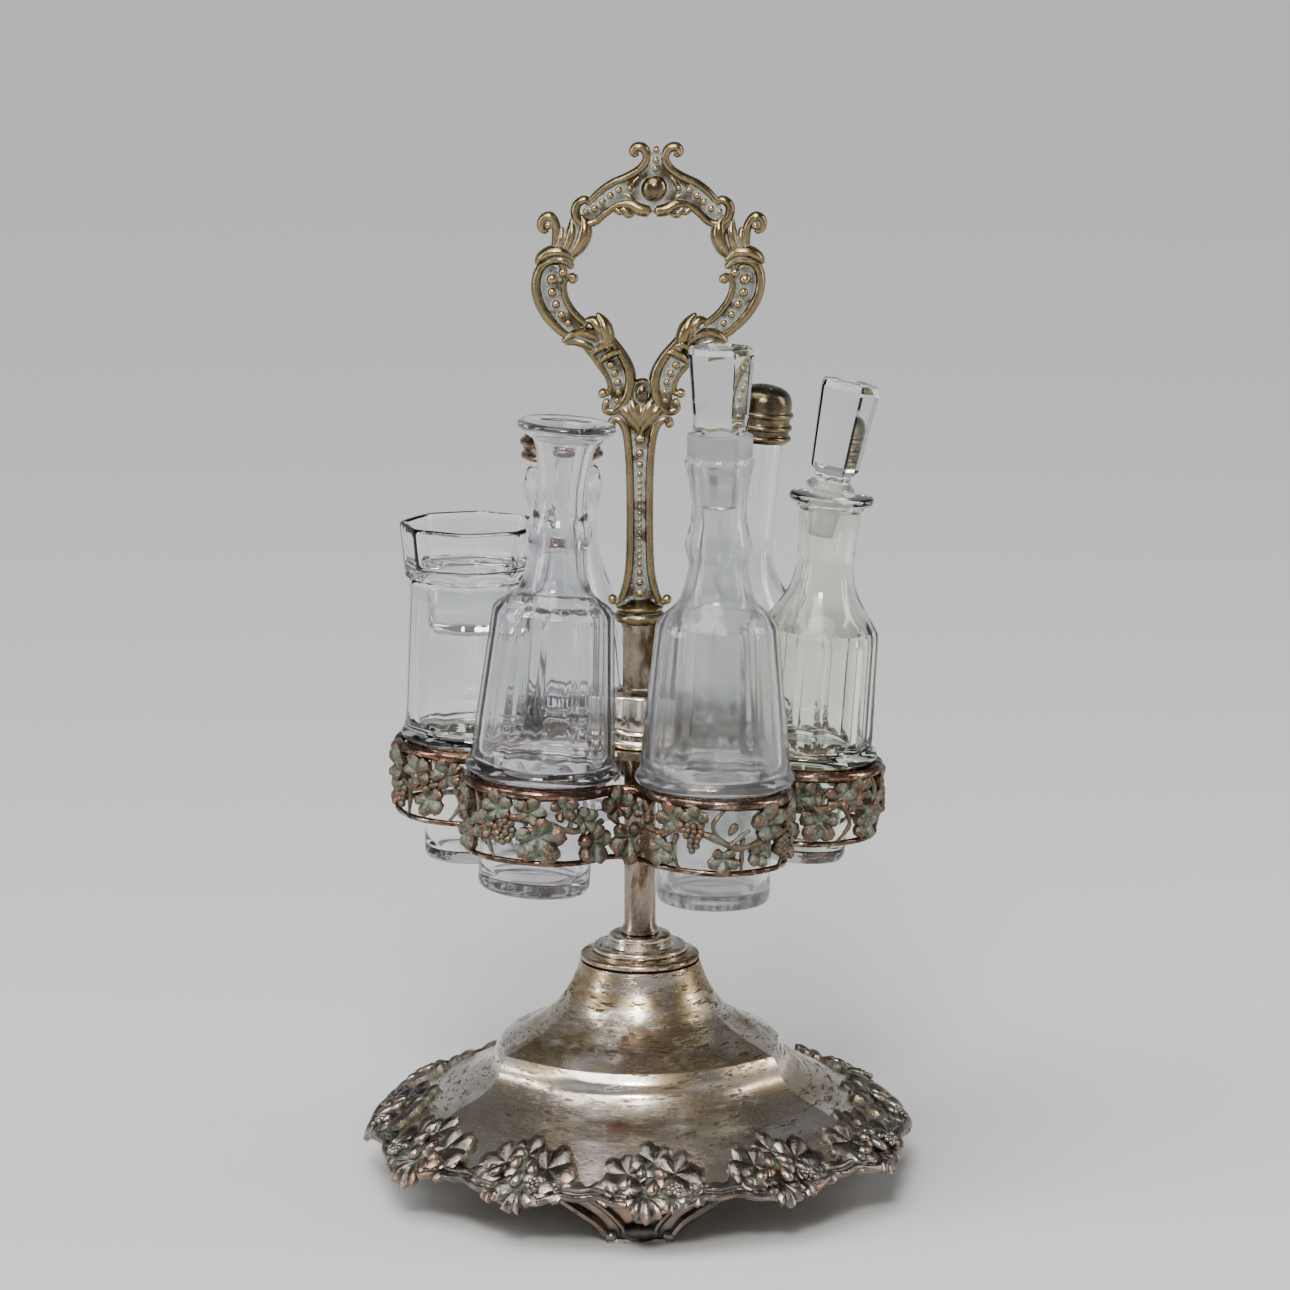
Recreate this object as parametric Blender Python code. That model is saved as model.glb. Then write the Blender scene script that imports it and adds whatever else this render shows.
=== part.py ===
"""Revolving cruet set: a three-footed plated base, a central stem with a cast handle, and a six-seat
carousel that turns on the stem and carries three bottles, a lidded jar and two shakers.

Metres, +Z up, origin on the table under the stem. Outlines are written in millimetres as
(radius, height) pairs. An azimuth is in degrees, 0 at the front (-Y), growing towards +X.
"""

import math

import bmesh
import bpy

MM = 0.001
GAP = 0.3                      # free space between pieces that touch, mm

# Driving dimensions, mm and degrees
BASE_SIDES = 30                # a multiple of three, so that a ridge falls on a vertex
RIM_MIDDLE_R = 104.0
RIM_CORNER_R = 109.0
RIM_HEIGHT = 21.5
SHELL_WALL = 1.6
DOME_TOP = 88.5
FOOT_AZIMUTHS = {"foot_front": 0, "foot_right": 120, "foot_left": -120}
FOOT_INNER_R = 75.0
FOOT_OUTER_R = 87.0
ROD_R = 3.0
ROD_BORE_R = 3.4
STEM_R = 6.2
UPPER_STEM_R = 7.5
HUB_R = 13.0
PIVOT_HEIGHT = 186.0
HUB_HALF = 10.5
HANDLE_FOOT = 229.8
HANDLE_LEAN = 2.5
HANDLE_DEPTH = 6.4
TOTAL_HEIGHT = 410.0

SEAT_COUNT = 6
SEAT_RADIUS = 66.0             # stem axis to seat centre
FIRST_SEAT_AZIMUTH = 26.0
LOBE_R = 27.9                  # rail centre line round a seat
WEB_R = 9.7                    # rail centre line between two seats
RAIL_HEIGHT = 172.5
TOP_RAIL_R = 1.7
BOTTOM_RAIL_HEIGHT = 146.0
BOTTOM_RAIL_R = 1.1
FRIEZE_HALF_WALL = 0.8
SEAT_HEIGHT = 174.5
HOLDER_LEAN_RIGHT = 2.4
HOLDER_LEAN_BACK = 0.6

# Seat index, and lean to the right of each vessel against the holder
VESSELS = {
    "vinegar": (0, -1.7),
    "soy": (1, 2.6),
    "pepper": (2, 3.3),
    "spice": (3, -3.4),
    "mustard": (4, -1.9),
    "oil": (5, 1.9),
}
BEAD_R = 29.3
GLASS_SIDES = 16
SOY_STOPPER_LEAN = 6.0


def clear_scene():
    for obj in list(bpy.data.objects):
        bpy.data.objects.remove(obj, do_unlink=True)


def material(name, colour, roughness, metallic, transmission=0.0):
    mat = bpy.data.materials.new(name)
    mat.use_nodes = True
    shader = mat.node_tree.nodes["Principled BSDF"]
    shader.inputs["Base Color"].default_value = (*colour, 1.0)
    shader.inputs["Roughness"].default_value = roughness
    shader.inputs["Metallic"].default_value = metallic
    shader.inputs["Transmission Weight"].default_value = transmission
    mat.diffuse_color = (*colour, 1.0)
    return mat


def add_object(name, bm, mat, parent=None, location=(0.0, 0.0, 0.0)):
    """Turns a bmesh in millimetres into a named object in metres."""
    bmesh.ops.scale(bm, vec=(MM, MM, MM), verts=bm.verts)
    bmesh.ops.recalc_face_normals(bm, faces=bm.faces)
    mesh = bpy.data.meshes.new(name)
    bm.to_mesh(mesh)
    bm.free()
    mesh.materials.append(mat)
    mesh.shade_smooth()
    mesh.set_sharp_from_angle(angle=math.radians(35))
    obj = bpy.data.objects.new(name, mesh)
    bpy.context.scene.collection.objects.link(obj)
    obj.location = [c * MM for c in location]
    obj.parent = parent
    return obj


def add_empty(name, location, rotation_deg, parent=None):
    empty = bpy.data.objects.new(name, None)
    bpy.context.scene.collection.objects.link(empty)
    empty.location = [c * MM for c in location]
    empty.rotation_euler = [math.radians(a) for a in rotation_deg]
    empty.parent = parent
    return empty


def spin_outline(outline, sides, turn=0.0):
    """A turned solid: the outline either closes on itself or starts and ends on the axis."""
    bm = bmesh.new()
    start = math.radians(turn)
    verts = [bm.verts.new((r * math.cos(start), r * math.sin(start), z)) for r, z in outline]
    pairs = list(zip(verts, verts[1:]))
    if outline[0][0] > 0:
        pairs.append((verts[-1], verts[0]))
    edges = [bm.edges.new(pair) for pair in pairs]
    bmesh.ops.spin(bm, geom=verts + edges, cent=(0, 0, 0), axis=(0, 0, 1),
                   angle=2 * math.pi, steps=sides, use_merge=True)
    bmesh.ops.remove_doubles(bm, verts=bm.verts, dist=1e-4)
    return bm


def turned(name, outline, mat, sides=16, parent=None, location=(0.0, 0.0, 0.0), turn=0.0):
    return add_object(name, spin_outline(outline, sides, turn), mat, parent, location)


def collar(outer_r, inner_r, low, high):
    """Outline of a plain ring."""
    return [(inner_r, low), (outer_r, low), (outer_r, high), (inner_r, high)]


def loft(name, rings, mat, parent=None, location=(0.0, 0.0, 0.0)):
    """Closed skin through rings of points; the last ring joins the first again."""
    bm = bmesh.new()
    loops = [[bm.verts.new(p) for p in ring] for ring in rings]
    for a, b in zip(loops, loops[1:] + loops[:1]):
        for i in range(len(a)):
            j = (i + 1) % len(a)
            bm.faces.new((a[i], a[j], b[j], b[i]))
    return add_object(name, bm, mat, parent, location)


def prism(name, outline, depth, mat, location=(0.0, 0.0, 0.0)):
    """An outline in the XZ plane, extruded half its depth to each side of it."""
    bm = bmesh.new()
    face = bm.faces.new([bm.verts.new((x, -depth / 2, z)) for x, z in outline])
    grown = bmesh.ops.extrude_face_region(bm, geom=[face])
    moved = [g for g in grown["geom"] if isinstance(g, bmesh.types.BMVert)]
    bmesh.ops.translate(bm, vec=(0, depth, 0), verts=moved)
    return add_object(name, bm, mat, None, location)


def combine(target, tool, operation):
    """Adds a Boolean and hides its tool."""
    cut = target.modifiers.new(operation.lower(), "BOOLEAN")
    cut.operation = operation
    cut.solver = "EXACT"
    cut.object = tool
    tool.hide_render = True
    tool.display_type = "WIRE"


def direction(azimuth):
    angle = math.radians(azimuth)
    return math.sin(angle), -math.cos(angle)


def mirrored(half):
    """A closed outline from its right half, which runs from the bottom up."""
    return half + [(-x, z) for x, z in reversed(half) if x > 0]


# ---------------------------------------------------------------- stand

def base_ring(middle_r, corner_r, height):
    """One level of the three-cornered base; the corners lie 60 degrees either side of each foot."""
    ring = []
    for i in range(BASE_SIDES):
        azimuth = 360.0 * i / BASE_SIDES
        off_panel = (azimuth + 60.0) % 120.0 - 60.0
        r = middle_r + (corner_r - middle_r) * (off_panel / 60.0) ** 2
        x, y = direction(azimuth)
        ring.append((r * x, r * y, height))
    return ring


BASE_LEVELS = [                # panel-middle radius, corner radius, height
    (23.5, 23.5, DOME_TOP),
    (27.0, 27.3, 79.0),
    (33.0, 34.0, 70.0),
    (41.0, 43.0, 63.5),
    (49.0, 51.5, 59.5),
    (54.0, 57.0, 57.0),
    (56.5, 60.0, 53.5),
    (58.5, 62.5, 48.5),
    (66.0, 71.0, 42.5),
    (77.0, 84.0, 37.5),
    (90.0, 96.0, 30.0),
    (RIM_MIDDLE_R, RIM_CORNER_R, RIM_HEIGHT),
]


def make_base(plate):
    outside = [base_ring(ROD_BORE_R, ROD_BORE_R, DOME_TOP)]
    outside += [base_ring(*level) for level in BASE_LEVELS]
    inside = [
        base_ring(m - SHELL_WALL * 0.8, c - SHELL_WALL * 0.8, h - SHELL_WALL)
        for m, c, h in reversed(BASE_LEVELS)
    ]
    inside.append(base_ring(ROD_BORE_R, ROD_BORE_R, DOME_TOP - SHELL_WALL))
    loft("base_shell", outside + inside, plate)


def make_border(dark_plate):
    section = [
        (80.0, 87.0, 36.9),
        (90.0, 96.0, 30.7),
        (105.0, 110.0, 21.9),
        (108.0, 112.0, 18.0),
        (108.6, 112.6, 20.0),
        (104.5, 109.0, 26.0),
        (90.0, 96.0, 34.8),
        (80.0, 87.0, 40.0),
    ]
    loft("base_border", [base_ring(*level) for level in section], dark_plate)


def make_feet(dark_plate):
    half = [(0, 0), (12.5, 0), (13, 2.5), (16, 6), (21, 9.5), (28, 13.5), (35, 19.2), (34, 22.5),
            (16, 26.6), (0, 27.5)]
    depth = FOOT_OUTER_R - FOOT_INNER_R
    for name, azimuth in FOOT_AZIMUTHS.items():
        foot = prism(name, mirrored(half), depth, dark_plate)
        middle = (FOOT_INNER_R + FOOT_OUTER_R) / 2
        x, y = direction(azimuth)
        foot.location = (x * middle * MM, y * middle * MM, 0)
        foot.rotation_euler = (0, 0, math.radians(azimuth))


def make_stem(plate, brass, steel):
    top = DOME_TOP + GAP
    turned("base_collar", [
        (ROD_BORE_R, top), (23.5, top), (23.5, top + 2.5), (18.5, top + 3.2), (18.5, top + 5.6),
        (12.0, top + 6.2), (12.0, top + 9.4), (10.5, top + 10.4), (ROD_BORE_R, top + 10.4),
    ], plate, 24)
    stem_foot = top + 10.4 + GAP
    turned("lower_stem", [
        (ROD_BORE_R, stem_foot), (7.4, stem_foot), (7.4, stem_foot + 1.6), (STEM_R, stem_foot + 3),
        (STEM_R, 171.0), (ROD_BORE_R, 171.0),
    ], plate)
    turned("thrust_collar", collar(8.5, ROD_BORE_R, 171.3, 174.3), plate)
    stem_low = PIVOT_HEIGHT + HUB_HALF + 1.2
    turned("upper_stem", collar(UPPER_STEM_R, ROD_BORE_R, stem_low, 224.2), plate, 8, turn=22.5)
    turned("handle_collar", [
        (ROD_BORE_R, 224.5), (9.0, 224.5), (9.8, 226.0), (9.8, 228.0), (9.0, 229.0),
        (ROD_BORE_R, 229.0),
    ], brass)
    turned("tie_rod", [(0, 70), (ROD_R, 70), (ROD_R, 238), (0, 238)], steel, 12)
    turned("rod_washer", collar(9.5, ROD_BORE_R, 84.9, 86.5), steel, 12)
    turned("rod_nut", collar(6.4, ROD_BORE_R + GAP, 78.8, 84.6), steel, 6)


def make_handle(brass):
    """Openwork handle: a shaft that carries a scrolled loop with a ball in its crown."""
    foot = HANDLE_FOOT
    shaft = mirrored([
        (0, 0), (9.0, 0), (9.0, 2.0), (5.4, 6.0), (4.9, 30.0), (5.2, 68.0), (9.5, 76.0),
        (6.0, 84.0), (7.0, 98.0), (0, 108.0),
    ])
    loop = mirrored([
        (0, 96), (9, 98), (17, 102), (28, 104), (37, 112), (42.5, 124), (42.5, 132), (37, 142),
        (39, 150), (33, 156), (20, 161), (9, 164), (6, 172), (9, 178), (6, 180), (0, 179),
    ])
    opening = mirrored([
        (0, 110), (12, 112), (22, 115), (28.5, 121), (29.5, 130), (27, 141), (22, 148), (11, 153),
        (0, 155),
    ])
    place = (0, 0, foot)
    handle = prism("handle", loop, HANDLE_DEPTH - 1.0, brass, place)
    hole = prism("handle_opening", opening, 3 * HANDLE_DEPTH, brass, place)
    bar = prism("handle_shaft", shaft, HANDLE_DEPTH, brass, place)
    ball = turned("handle_ball", [
        (0, 158.8), (3.7, 160.3), (5.3, 164.2), (3.7, 168.0), (0, 169.5),
    ], brass, 12, location=place)
    for piece in (handle, hole, bar, ball):
        piece.rotation_euler = (0, math.radians(HANDLE_LEAN), 0)
    socket = turned("rod_socket", [(0, 220), (ROD_BORE_R, 220), (ROD_BORE_R, 239), (0, 239)],
                    brass, 12)
    combine(handle, hole, "DIFFERENCE")
    combine(handle, bar, "UNION")
    combine(handle, ball, "UNION")
    combine(handle, socket, "DIFFERENCE")


# ---------------------------------------------------------------- carousel

def lobed_outline(offset, lobe_steps=9, web_steps=4):
    """The holder's plan: an arc round each seat and a hollow web between two seats."""
    half_pitch = math.pi / SEAT_COUNT
    across = SEAT_RADIUS * math.sin(half_pitch)
    along = SEAT_RADIUS * math.cos(half_pitch)
    reach = math.sqrt((LOBE_R + WEB_R) ** 2 - across**2)
    lean = math.atan2(across, reach)
    points = []
    for k in range(SEAT_COUNT):
        out = math.radians(FIRST_SEAT_AZIMUTH - 90) + 2 * half_pitch * k
        cx, cy = SEAT_RADIUS * math.cos(out), SEAT_RADIUS * math.sin(out)
        for i in range(lobe_steps + 1):
            angle = out + (half_pitch + lean) * (2 * i / lobe_steps - 1)
            radius = LOBE_R + offset
            points.append((cx + radius * math.cos(angle), cy + radius * math.sin(angle)))
        middle = out + half_pitch
        wx, wy = (along + reach) * math.cos(middle), (along + reach) * math.sin(middle)
        for i in range(1, web_steps):
            angle = middle + math.pi + lean * (1 - 2 * i / web_steps)
            radius = WEB_R - offset
            points.append((wx + radius * math.cos(angle), wy + radius * math.sin(angle)))
    return points


def make_rail(name, height, radius, mat, holder):
    curve = bpy.data.curves.new(name, "CURVE")
    curve.dimensions = "3D"
    curve.bevel_depth = radius * MM
    curve.bevel_resolution = 1
    spline = curve.splines.new("POLY")
    points = lobed_outline(0.0)
    spline.points.add(len(points) - 1)
    for point, (x, y) in zip(spline.points, points):
        point.co = (x * MM, y * MM, height * MM, 1.0)
    spline.use_cyclic_u = True
    curve.materials.append(mat)
    rail = bpy.data.objects.new(name, curve)
    bpy.context.scene.collection.objects.link(rail)
    rail.location = (0, 0, -PIVOT_HEIGHT * MM)
    rail.parent = holder


def make_spider(plate, holder):
    """Hub ring, six arms and six seat rings, cast as one piece."""
    down = (0, 0, -PIVOT_HEIGHT)
    low, high = RAIL_HEIGHT - GAP, SEAT_HEIGHT - GAP
    ring_r = LOBE_R - TOP_RAIL_R - GAP - 0.5
    spider = turned("seat_spider", collar(17.0, 10.2, low, high + 1.0), plate, 24, holder, down)
    for k in range(SEAT_COUNT):
        azimuth = FIRST_SEAT_AZIMUTH + 360.0 * k / SEAT_COUNT
        x, y = direction(azimuth)
        inner, outer = 15.0, SEAT_RADIUS - ring_r + 1.2
        bm = bmesh.new()
        bmesh.ops.create_cube(bm, size=1.0)
        bmesh.ops.scale(bm, vec=(5.0, outer - inner, high - low - 0.4), verts=bm.verts)
        arm = add_object(f"arm_{k}", bm, plate, holder)
        middle = (inner + outer) / 2
        arm.location = (x * middle * MM, y * middle * MM,
                        ((low + high) / 2 - PIVOT_HEIGHT) * MM)
        arm.rotation_euler = (0, 0, math.radians(azimuth))
        seat = turned(f"seat_{k}", collar(ring_r, 23.0, low, high), plate, 20, holder,
                      (x * SEAT_RADIUS, y * SEAT_RADIUS, -PIVOT_HEIGHT), azimuth)
        combine(spider, arm, "UNION")
        combine(spider, seat, "UNION")


def make_carousel(plate, copper, patina, brass):
    holder = add_empty("carousel_axis", (0, 0, PIVOT_HEIGHT),
                       (-HOLDER_LEAN_BACK, HOLDER_LEAN_RIGHT, 0))
    turned("hub_drum", [
        (9.3, -HUB_HALF), (12.4, -HUB_HALF), (HUB_R, -9.6), (HUB_R + 0.6, -8.4), (HUB_R, -7.2),
        (12.6, -4.4), (11.9, -3.6), (12.6, -2.8), (HUB_R, -1.6), (HUB_R, 8.6),
        (12.2, HUB_HALF), (9.3, HUB_HALF),
    ], plate, 24, holder)
    turned("hub_bush", collar(9.0, 3.75, -9.6, 9.6), brass, 16, holder)
    make_spider(plate, holder)
    make_rail("top_rail", RAIL_HEIGHT, TOP_RAIL_R, copper, holder)
    make_rail("bottom_rail", BOTTOM_RAIL_HEIGHT, BOTTOM_RAIL_R, copper, holder)
    low = BOTTOM_RAIL_HEIGHT + BOTTOM_RAIL_R + GAP
    high = RAIL_HEIGHT - TOP_RAIL_R - GAP
    outer = lobed_outline(FRIEZE_HALF_WALL)
    inner = lobed_outline(-FRIEZE_HALF_WALL)
    loft("frieze", [
        [(x, y, low) for x, y in outer], [(x, y, high) for x, y in outer],
        [(x, y, high) for x, y in inner], [(x, y, low) for x, y in inner],
    ], patina, holder, (0, 0, -PIVOT_HEIGHT))
    return holder


# ---------------------------------------------------------------- vessels

def seat_empty(vessel, holder):
    """A vessel's own axis: it stands in its seat on the edge of its bead, leaning a little."""
    index, lean = VESSELS[vessel]
    x, y = direction(FIRST_SEAT_AZIMUTH + 360.0 * index / SEAT_COUNT)
    raised = BEAD_R * math.sin(math.radians(abs(lean)))
    place = (x * SEAT_RADIUS, y * SEAT_RADIUS, SEAT_HEIGHT - PIVOT_HEIGHT + raised)
    return add_empty(f"{vessel}_axis", place, (0, lean, 0), holder)


def make_oil(glass, holder):
    axis = seat_empty("oil", holder)
    turned("oil_bottle", [
        (0, -46), (19.5, -46), (21.4, -43), (21.4, 0), (28.3, 0), (29.3, 2), (27.6, 4.5),
        (25.6, 35), (23, 64), (18.5, 73), (12.6, 82), (10.8, 90), (11.6, 95), (9.6, 105),
        (11.3, 125), (18.4, 130.5), (18.6, 133.5), (17.4, 135),
        (14, 133.2), (8.2, 126), (6.6, 105), (7.4, 91), (9.4, 84), (19, 68), (22.4, 35),
        (24, 5), (18.4, -2), (18.4, -40), (0, -42),
    ], glass, GLASS_SIDES, axis)


def make_vinegar(glass, frosted, holder):
    axis = seat_empty("vinegar", holder)
    turned("vinegar_bottle", [
        (0, -46.4), (19.8, -46.4), (21.7, -43.5), (21.7, 0), (29.4, 0), (30.4, 2), (28.6, 4.6),
        (26, 34), (23, 61.6), (17.5, 73), (11.4, 81), (11, 84), (12.4, 91.6), (10.4, 106.6),
        (13.3, 122.5), (12.5, 125), (12.5, 133),
        (8.7, 133), (7.1, 104), (7.1, 92), (9.2, 84), (19, 65), (23, 34), (25, 5),
        (18.6, -2), (18.6, -40), (0, -42.4),
    ], glass, GLASS_SIDES, axis)
    turned("vinegar_stopper", [
        (0, 105), (6.3, 105), (8.1, 133.3), (9.8, 133.4), (11.9, 163.5), (10.6, 165.8), (0, 165.8),
    ], frosted, 8, axis, turn=22.5)


def make_soy(glass, frosted, holder):
    axis = seat_empty("soy", holder)
    turned("soy_bottle", [
        (0, -41.3), (17, -41.3), (18.5, -38.5), (18.5, 0), (26.9, 0), (27.4, 2), (25, 4.4),
        (24.5, 8), (23.3, 48.7), (17.5, 58), (12.8, 67), (11.2, 75), (11.3, 88), (12.4, 97.5),
        (15.8, 99.6), (16.4, 101.4), (15.6, 103.2),
        (8.9, 103.2), (8.6, 82), (7.8, 75), (9.6, 66), (19.6, 49), (21, 8),
        (16, 0), (15.5, -36), (0, -37.8),
    ], glass, GLASS_SIDES, axis)
    lean = math.radians(SOY_STOPPER_LEAN)
    lip, flange_r = 103.2, 9.6
    lifted = lip + GAP + (flange_r + 0.6) * math.sin(lean)
    stopper_axis = add_empty("soy_stopper_axis", (-1.0, 0, lifted),
                             (0, SOY_STOPPER_LEAN, 0), axis)
    turned("soy_stopper", [
        (0, -18), (4.9, -18), (6.2, 0), (flange_r, 0), (flange_r, 1.8), (7.4, 4.0), (7.4, 6.4),
        (9.2, 9.4), (11.1, 40.2), (9.9, 42.4), (0, 42.4),
    ], frosted, 8, stopper_axis, turn=22.5)


def make_mustard(glass, holder):
    axis = seat_empty("mustard", holder)
    turned("mustard_jar", [
        (0, -48.7), (16.6, -48.7), (18.3, -46), (18.3, 0), (27.3, 0), (27.6, 2), (26.3, 4),
        (24.4, 62), (23.4, 63),
        (19.6, 63), (20.6, 56), (22.8, 6), (15.5, -2), (15.5, -43), (0, -45),
    ], glass, GLASS_SIDES, axis)
    turned("mustard_lid", [
        (0, 42.3), (15.6, 42.3), (17.4, 45), (17.8, 63.4), (25.2, 63.4), (26.4, 65.5),
        (28.6, 83.2), (28.0, 84.8),
        (26.2, 84.8), (24.2, 70.5), (22.4, 67.6), (0, 67.6),
    ], glass, GLASS_SIDES, axis)


def make_pepper(glass, brass, cork, holder):
    axis = seat_empty("pepper", holder)
    turned("pepper_bottle", [
        (0, -45), (19.2, -45), (21, -42), (21, 0), (28.3, 0), (29.0, 2), (27.2, 4.5),
        (23.6, 44), (18, 53), (11.6, 62), (9.2, 71), (9.2, 121),
        (6.4, 121), (6.4, 71), (9, 62), (20, 44), (23.6, 5), (18, -2), (18, -39), (0, -41),
    ], glass, GLASS_SIDES, axis)
    turned("pepper_gasket", collar(8.9, 6.6, 121.3, 122.8), cork, 12, axis)
    turned("pepper_cap", [
        (0, 134.8), (5.0, 133.8), (8.2, 130.8), (9.0, 128), (9.0, 123.4), (9.9, 123.1),
        (9.9, 113.4), (11.4, 113.4), (12.4, 115), (12.4, 117), (11.2, 118.4), (11.2, 122.6),
        (12.4, 124), (12.4, 126), (11.3, 128), (9.4, 132.2), (5.6, 135.2), (0, 136.4),
    ], brass, GLASS_SIDES, axis)


def make_spice(glass, copper, cork, holder):
    axis = seat_empty("spice", holder)
    turned("spice_bottle", [
        (0, -45), (19.2, -45), (21, -42), (21, 0), (28.3, 0), (29.0, 2), (26.6, 4.5),
        (24.0, 30), (20.8, 42), (18.7, 49.4), (14.0, 67), (13.3, 76), (15.7, 91), (14.6, 97.5),
        (13.1, 99.5), (13.1, 107),
        (10.4, 107), (10.4, 97), (12.4, 91), (10.6, 76), (16, 48), (21, 30), (23, 5),
        (18, -2), (18, -39), (0, -41),
    ], glass, GLASS_SIDES, axis)
    turned("spice_gasket", collar(12.8, 10.0, 107.3, 108.8), cork, 12, axis)
    turned("spice_cap", [
        (0, 117.6), (7, 116.6), (12.2, 112.6), (12.8, 109.4), (13.8, 109.1), (13.8, 99.9),
        (15.4, 99.9), (16.5, 101.4), (15.4, 103.0), (16.5, 104.6), (15.6, 106.4), (16.9, 109.4),
        (16.4, 111.6), (14.0, 113.6), (12.6, 116.6), (7.5, 118.6), (0, 119.4),
    ], copper, GLASS_SIDES, axis)


def main():
    clear_scene()
    plate = material("silver_plate", (0.62, 0.57, 0.48), 0.3, 1.0)
    dark_plate = material("dark_cast_plate", (0.36, 0.34, 0.30), 0.45, 1.0)
    copper = material("worn_copper", (0.62, 0.36, 0.24), 0.35, 1.0)
    patina = material("green_patina", (0.33, 0.35, 0.29), 0.6, 0.8)
    brass = material("aged_brass", (0.60, 0.46, 0.25), 0.4, 1.0)
    steel = material("rod_steel", (0.45, 0.44, 0.42), 0.4, 1.0)
    cork = material("cork", (0.45, 0.32, 0.2), 0.9, 0.0)
    glass = material("clear_glass", (0.86, 0.88, 0.86), 0.05, 0.0, 1.0)
    frosted = material("frosted_glass", (0.86, 0.86, 0.83), 0.4, 0.0, 1.0)
    make_base(plate)
    make_border(dark_plate)
    make_feet(dark_plate)
    make_stem(plate, brass, steel)
    make_handle(brass)
    holder = make_carousel(plate, copper, patina, brass)
    make_oil(glass, holder)
    make_vinegar(glass, frosted, holder)
    make_soy(glass, frosted, holder)
    make_mustard(glass, holder)
    make_pepper(glass, brass, cork, holder)
    make_spice(glass, copper, cork, holder)
    bpy.context.view_layer.update()


main()
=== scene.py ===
"""Looks of a revolving cruet set: worn silver plate, cast vine work, brass handle and glass.

Lengths in the shape code are millimetres; new_piece turns them into metres. An azimuth is in
degrees, 0 at the front (-Y), growing towards +X.
"""

import math
import random

import bmesh
import bpy
from mathutils import Euler, Matrix, Vector


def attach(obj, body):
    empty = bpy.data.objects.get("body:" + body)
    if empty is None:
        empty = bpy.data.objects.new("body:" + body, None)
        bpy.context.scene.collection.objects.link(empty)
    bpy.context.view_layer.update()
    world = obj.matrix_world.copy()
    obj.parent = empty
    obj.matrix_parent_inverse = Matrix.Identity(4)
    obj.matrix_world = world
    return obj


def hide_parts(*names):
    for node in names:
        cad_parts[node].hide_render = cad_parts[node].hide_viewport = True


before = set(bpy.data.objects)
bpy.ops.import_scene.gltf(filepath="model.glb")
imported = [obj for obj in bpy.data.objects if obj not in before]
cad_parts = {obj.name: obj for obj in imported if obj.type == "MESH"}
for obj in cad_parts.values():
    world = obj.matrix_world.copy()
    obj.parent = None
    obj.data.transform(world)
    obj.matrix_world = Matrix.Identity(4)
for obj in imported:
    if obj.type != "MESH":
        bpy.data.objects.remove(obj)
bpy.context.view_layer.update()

MM = 0.001

# Places shared with the CAD, in millimetres and degrees
DOME_TOP = 88.5
SHELL_WALL = 1.6
ROD_BORE_R = 3.4
PIVOT_HEIGHT = 186.0
HUB_HALF = 10.5
SEAT_COUNT = 6
SEAT_RADIUS = 66.0
FIRST_SEAT_AZIMUTH = 26.0
LOBE_R = 27.9
WEB_R = 9.7
RAIL_HEIGHT = 172.5
BOTTOM_RAIL_HEIGHT = 146.0
SEAT_HEIGHT = 174.5
HOLDER_LEAN_RIGHT = 2.4
HOLDER_LEAN_BACK = 0.6
BEAD_R = 29.3
SOY_STOPPER_LEAN = 6.0
VESSELS = {
    "vinegar": (0, -1.7),
    "soy": (1, 2.6),
    "pepper": (2, 3.3),
    "spice": (3, -3.4),
    "mustard": (4, -1.9),
    "oil": (5, 1.9),
}
RIM_R = 104.0
SHELL_EDGE_R = 98.6            # the plain skin ends here, inside the border's scallops
CLUSTERS = 12                  # leaf clusters round the border
FIRST_CLUSTER = 3.0
FOOT_R = 81.0                  # a foot's middle plane
FOOT_TOP = 27.3
FOOT_HALF = [(12.2, 0), (12.6, 2.4), (15.6, 6.2), (21, 10), (28, 14), (34.5, 19.4),
             (33.6, 22.4), (24, 24.8), (14, 26.5), (3, FOOT_TOP)]
BASE_LEVELS = [                # panel-middle radius, corner radius, height
    (23.5, 23.5, DOME_TOP),
    (27, 27.9, 79),
    (33, 35.2, 70),
    (41, 45, 63.5),
    (49, 54, 59.5),
    (54, 59.8, 57),
    (56.5, 62.4, 53.5),
    (58.5, 64.4, 48.5),
    (66, 72.2, 42.5),
    (77, 84, 37.5),
    (90, 96, 30),
    (104, 109, 21.5),
]


# ---------------------------------------------------------------- mesh helpers

def rotation(x_deg, y_deg, z_deg):
    return Euler([math.radians(a) for a in (x_deg, y_deg, z_deg)]).to_matrix().to_4x4()


def direction(azimuth):
    angle = math.radians(azimuth)
    return math.sin(angle), -math.cos(angle)


def ramp(value, start, end):
    """0 at start, 1 at end and straight between them; end may be the lower one."""
    return max(0, min(1, (value - start) / (end - start)))


def bridge(bm, a, b):
    """Quads between two closed rings of equally many vertices."""
    for i in range(len(a)):
        j = (i + 1) % len(a)
        bm.faces.new((a[i], a[j], b[j], b[i]))


def add_object(name, data):
    obj = bpy.data.objects.new(name, data)
    bpy.context.scene.collection.objects.link(obj)
    return obj


def new_mesh(name, bm, place):
    """A bmesh in millimetres becomes a mesh in metres, set at place."""
    bmesh.ops.scale(bm, vec=(MM, MM, MM), verts=bm.verts)
    bmesh.ops.recalc_face_normals(bm, faces=bm.faces)
    bm.transform(place)
    mesh = bpy.data.meshes.new(name)
    bm.to_mesh(mesh)
    bm.free()
    return mesh


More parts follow.
